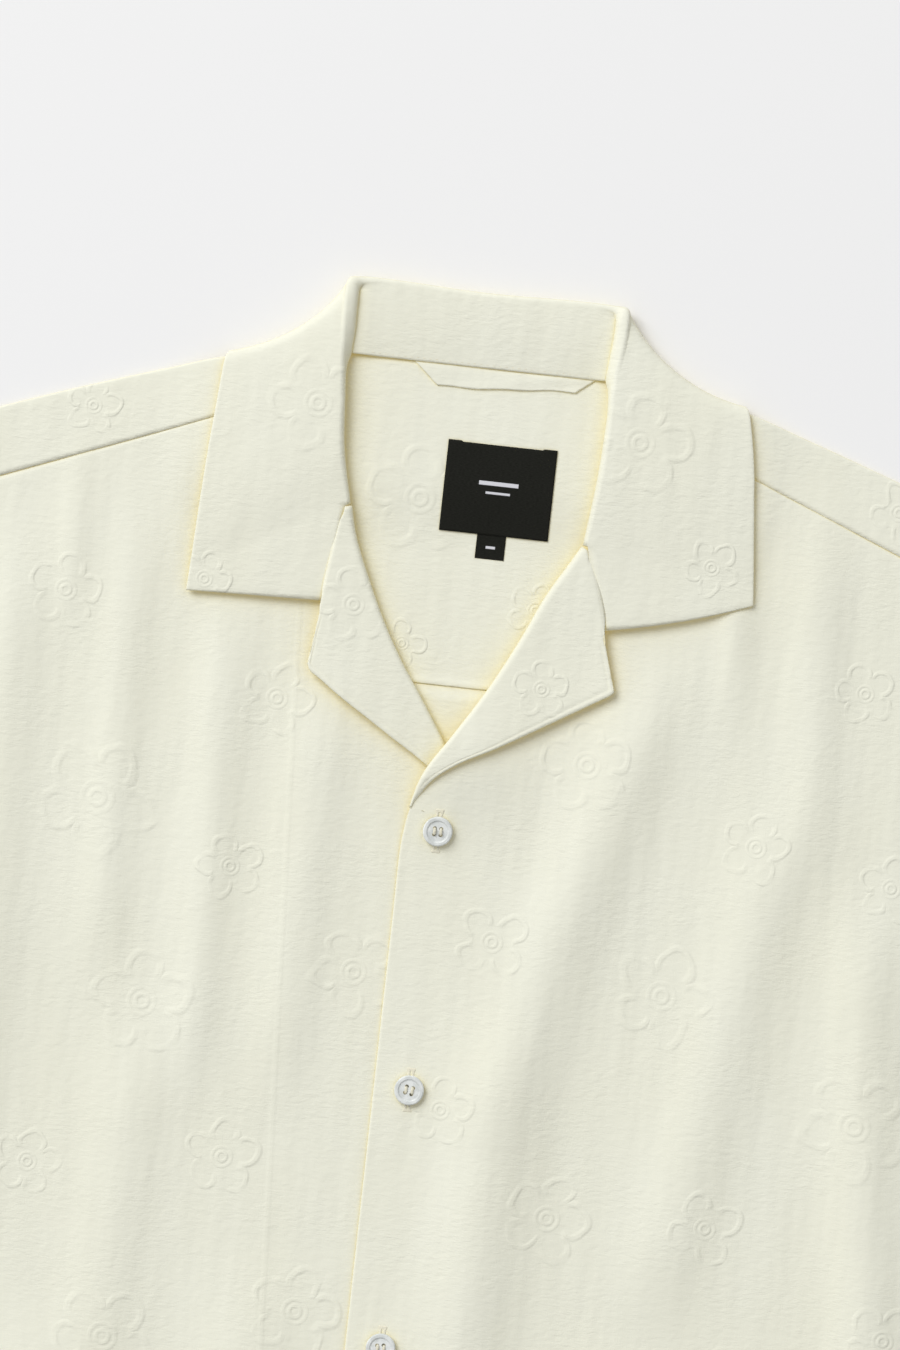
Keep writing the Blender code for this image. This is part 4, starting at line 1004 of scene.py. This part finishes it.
def button_resin():
    """Pearly resin: soft pale clouds, a little bluish, smooth and clear-coated."""
    made, tree, shader = start_material("pearl_resin")
    cloud = noise(add(tree, "TexCoord", pick=3), 3.0, scale=260.0)
    colour = two_colours(between(cloud, 0.35, 0.65), (0.60, 0.625, 0.61), (0.74, 0.76, 0.745))
    tree.links.new(colour, shader.inputs["Base Color"])
    tree.links.new(between(cloud, 0.3, 0.7, 0.22, 0.34), shader.inputs["Roughness"])
    shader.inputs["Coat Weight"].default_value = 0.35
    shader.inputs["Coat Roughness"].default_value = 0.12
    return made


def spun_thread():
    """Spun cream thread: fine slanting ribs along the stitch, matte."""
    made, tree, shader = start_material("cream_thread")
    fibre = noise(stretched(add(tree, "TexCoord", pick=3), 0.0011, 0.00022), 2.0)
    colour = two_colours(fibre, (0.66, 0.62, 0.47), (0.80, 0.78, 0.66))
    tree.links.new(colour, shader.inputs["Base Color"])
    emboss(shader, times(fibre, 0.00009))
    tree.links.new(between(fibre, 0.2, 0.8, 0.75, 0.9), shader.inputs["Roughness"])
    shader.inputs["Specular IOR Level"].default_value = 0.2
    return made


def threads(name, runs, radius, finish):
    """Threads along runs of points: a six-sided ring round each point, square to the run,
    shrinking like a semicircle at the last fifth of either end."""
    runs = np.asarray(runs, float)
    count, length = runs.shape[:2]
    way = unit(np.gradient(runs, axis=1))
    across = unit(np.cross(way, np.broadcast_to([0.0, 0.0, 1.0], way.shape)))
    rise = np.cross(across, way)
    t = np.linspace(0, 1, length)
    taper = edge_round(np.minimum(t, 1 - t), 0.2)[None, :, None, None] * radius
    turn = np.linspace(0, 2 * np.pi, 7)[:-1][None, None, :, None]
    rings = runs[:, :, None] + taper * (np.cos(turn) * across[:, :, None]
                                        + np.sin(turn) * rise[:, :, None])
    start = (np.arange(count)[:, None, None] * length + np.arange(length - 1)[None, :, None]) * 6
    k = np.arange(6)[None, None, :]
    quads = np.stack([start + k, start + (k + 1) % 6, start + 6 + (k + 1) % 6, start + 6 + k], -1)
    mesh = new_mesh(name, rings, quads)
    join_points(mesh, 1e-6, face_out=True)
    mesh.shade_smooth()
    piece = placed(name, mesh)
    mesh.materials.append(finish)
    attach(piece, "root")
    return piece


RESIN = button_resin()
CREAM_THREAD = spun_thread()
right_height = front_surface(1)
for number, middle in enumerate(BUTTON_YS, start=1):
    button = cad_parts["button_%d" % number]
    button.data.materials.clear()
    button.data.materials.append(RESIN)
    low, high = (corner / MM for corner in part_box("button_%d" % number))
    centre = (low + high) / 2 - Vector(ORIGIN)
    t = np.linspace(0, 1, 13)
    runs = []
    for side in (-1, 1):
        for strand in STRANDS:
            x = centre.x + side * HOLE_APART / 2 + strand + 0 * t
            y = centre.y + (HOLE_APART / 2 + 0.25 - abs(strand) * 0.5) * np.cos(np.pi * t)
            z = high.z - ORIGIN[2] - 1.5 + (1.45 - 0.4 * abs(strand)) * np.sin(np.pi * t) ** 0.5
            runs.append(np.stack([x, y, z], axis=1))
    threads("button_thread_%d" % number, runs, 0.27, CREAM_THREAD)
    x = np.linspace(-1, 1, 25)[None, :] * BUTTONHOLE_WIDTH
    y = np.linspace(-1, 1, 91)[:, None] * BUTTONHOLE_LENGTH
    to_tack = BUTTONHOLE_LENGTH - np.abs(y)
    width = BUTTONHOLE_WIDTH - 0.45 * smooth(0.4, TACK + 1.0, to_tack)
    ridge = edge_round(width - np.abs(x) + 0 * y, 0.7) * edge_round(to_tack, 0.5)
    slit = 1 - smooth(SLIT * 0.4, SLIT * 1.7, np.abs(x))
    slit = slit * smooth(TACK - 0.3, TACK + 0.3, to_tack)
    ripple = 1 + 0.16 * np.sin(y * 2 * np.pi / 0.62)
    z = right_height(x, y + middle) + 0.05 + BUTTONHOLE_HEIGHT * ridge * ripple * (1 - slit)
    hole = sew("buttonhole_%d" % number, [patch(x, y + middle, z - 0.3 * slit)], CREAM_THREAD,
               ply=0.2)

# Stitching: single rows of lockstitch in cream thread, along the hems and beside the neck
# seam. Each stitch is a short thread that dips into the cloth at both ends.
STITCH_LENGTH = 2.0
STITCH_PITCH = 2.7
SLEEVE_STITCHES = ((235.0, -86.0, -5.0), (275.0, -298.0, 3.0))  # armhole point, end's shift in y


def stitch_row(name, line, surface):
    """Stitches along a flat line of points, one pitch apart, each bowed up by a half sine
    from just under the surface."""
    line = np.asarray(line, float)
    run = run_lengths(line[None])[0]
    start = np.arange(STITCH_PITCH, run[-1] - STITCH_PITCH, STITCH_PITCH)
    t = np.linspace(0, 1, 7)
    at = start[:, None] + STITCH_LENGTH * t[None]
    x, y = np.interp(at, run, line[:, 0]), np.interp(at, run, line[:, 1])
    z = surface(x, y) + PLY / 2 - 0.12 + 0.2 * np.sin(np.pi * t)[None]
    return threads(name, np.stack([x, y, z], axis=-1), 0.17, CREAM_THREAD)


for side, name in SIDES:
    line = [(-side * (FRONT_EDGE - 1.5), HEM_Y + HEM_DEPTH),
            (side * (HEM_HALF_WIDTH - 4), HEM_Y + HEM_DEPTH)]
    stitch_row("hem_stitches_" + name, line, front_surface(side))
    share = 1 - SLEEVE_HEM_DEPTH / SLEEVE_LENGTH
    ends = [(side * blend(x, hem_point[0], share), blend(y, hem_point[1], share) + shift)
            for (x, y, shift), hem_point in zip(SLEEVE_STITCHES,
                                                (SLEEVE_HEM_TOP, SLEEVE_HEM_UNDER))]
    stitch_row("sleeve_hem_stitches_" + name, ends,
               lambda x, y: front_height(x, y) + SLEEVE_PUFF)
seam_x = np.linspace(-53, 45, 40)
stitch_row("neck_seam_stitches", np.stack([seam_x, NECK_SEAM_Y + 0.5 + 0 * seam_x], axis=1),
           lambda x, y: neck_height(x) + 0.57)

# Studio: a pale seamless table under an even pale surround, and one broad soft lamp high on
# the neck's side. The camera looks straight down, turned as the shirt lies.
VIEW_CENTRE = (-2.1, -163.2)
VIEW_TURN = 6.3  # degrees
VIEW_HEIGHT = 1.8  # metres, as are the next three
VIEW_TALL = 0.57375  # what the frame's long side covers on the table
LAMP_PLACE = (-4.8, 4.6, 6.4)  # from the view's centre
LAMP_SIZE = 5.6
LAMP_POWER = 755  # watts

mesh = bpy.data.meshes.new("table")
mesh.from_pydata([(-4, -4, 0), (4, -4, 0), (4, 4, 0), (-4, 4, 0)], [], [(0, 1, 2, 3)])
table = placed("table", mesh)
paper, tree, shader = start_material("paper")
shader.inputs["Base Color"].default_value = (0.82, 0.82, 0.82, 1)
shader.inputs["Roughness"].default_value = 0.9
mesh.materials.append(paper)

world = bpy.data.worlds.new("surround")
bpy.context.scene.world = world
world.use_nodes = True
world.node_tree.nodes["Background"].inputs["Color"].default_value = (1, 1, 1, 1)
world.node_tree.nodes["Background"].inputs["Strength"].default_value = 0.48

aim = (Vector((*VIEW_CENTRE, 0)) + Vector(ORIGIN)) * MM
light = bpy.data.lights.new("key", "AREA")
light.size = LAMP_SIZE
light.energy = LAMP_POWER
lamp = placed("key", light)
lamp.location = aim + Vector(LAMP_PLACE)
lamp.rotation_euler = (-Vector(LAMP_PLACE)).to_track_quat("-Z", "Y").to_euler()

camera = placed("camera", bpy.data.cameras.new("camera"))
camera.location = aim + Vector((0, 0, VIEW_HEIGHT))
camera.rotation_euler = (0, 0, np.radians(VIEW_TURN))
camera.data.lens = 36.0 * VIEW_HEIGHT / VIEW_TALL
camera.data.clip_end = 50
bpy.context.scene.camera = camera
bpy.context.scene.view_settings.view_transform = "Standard"
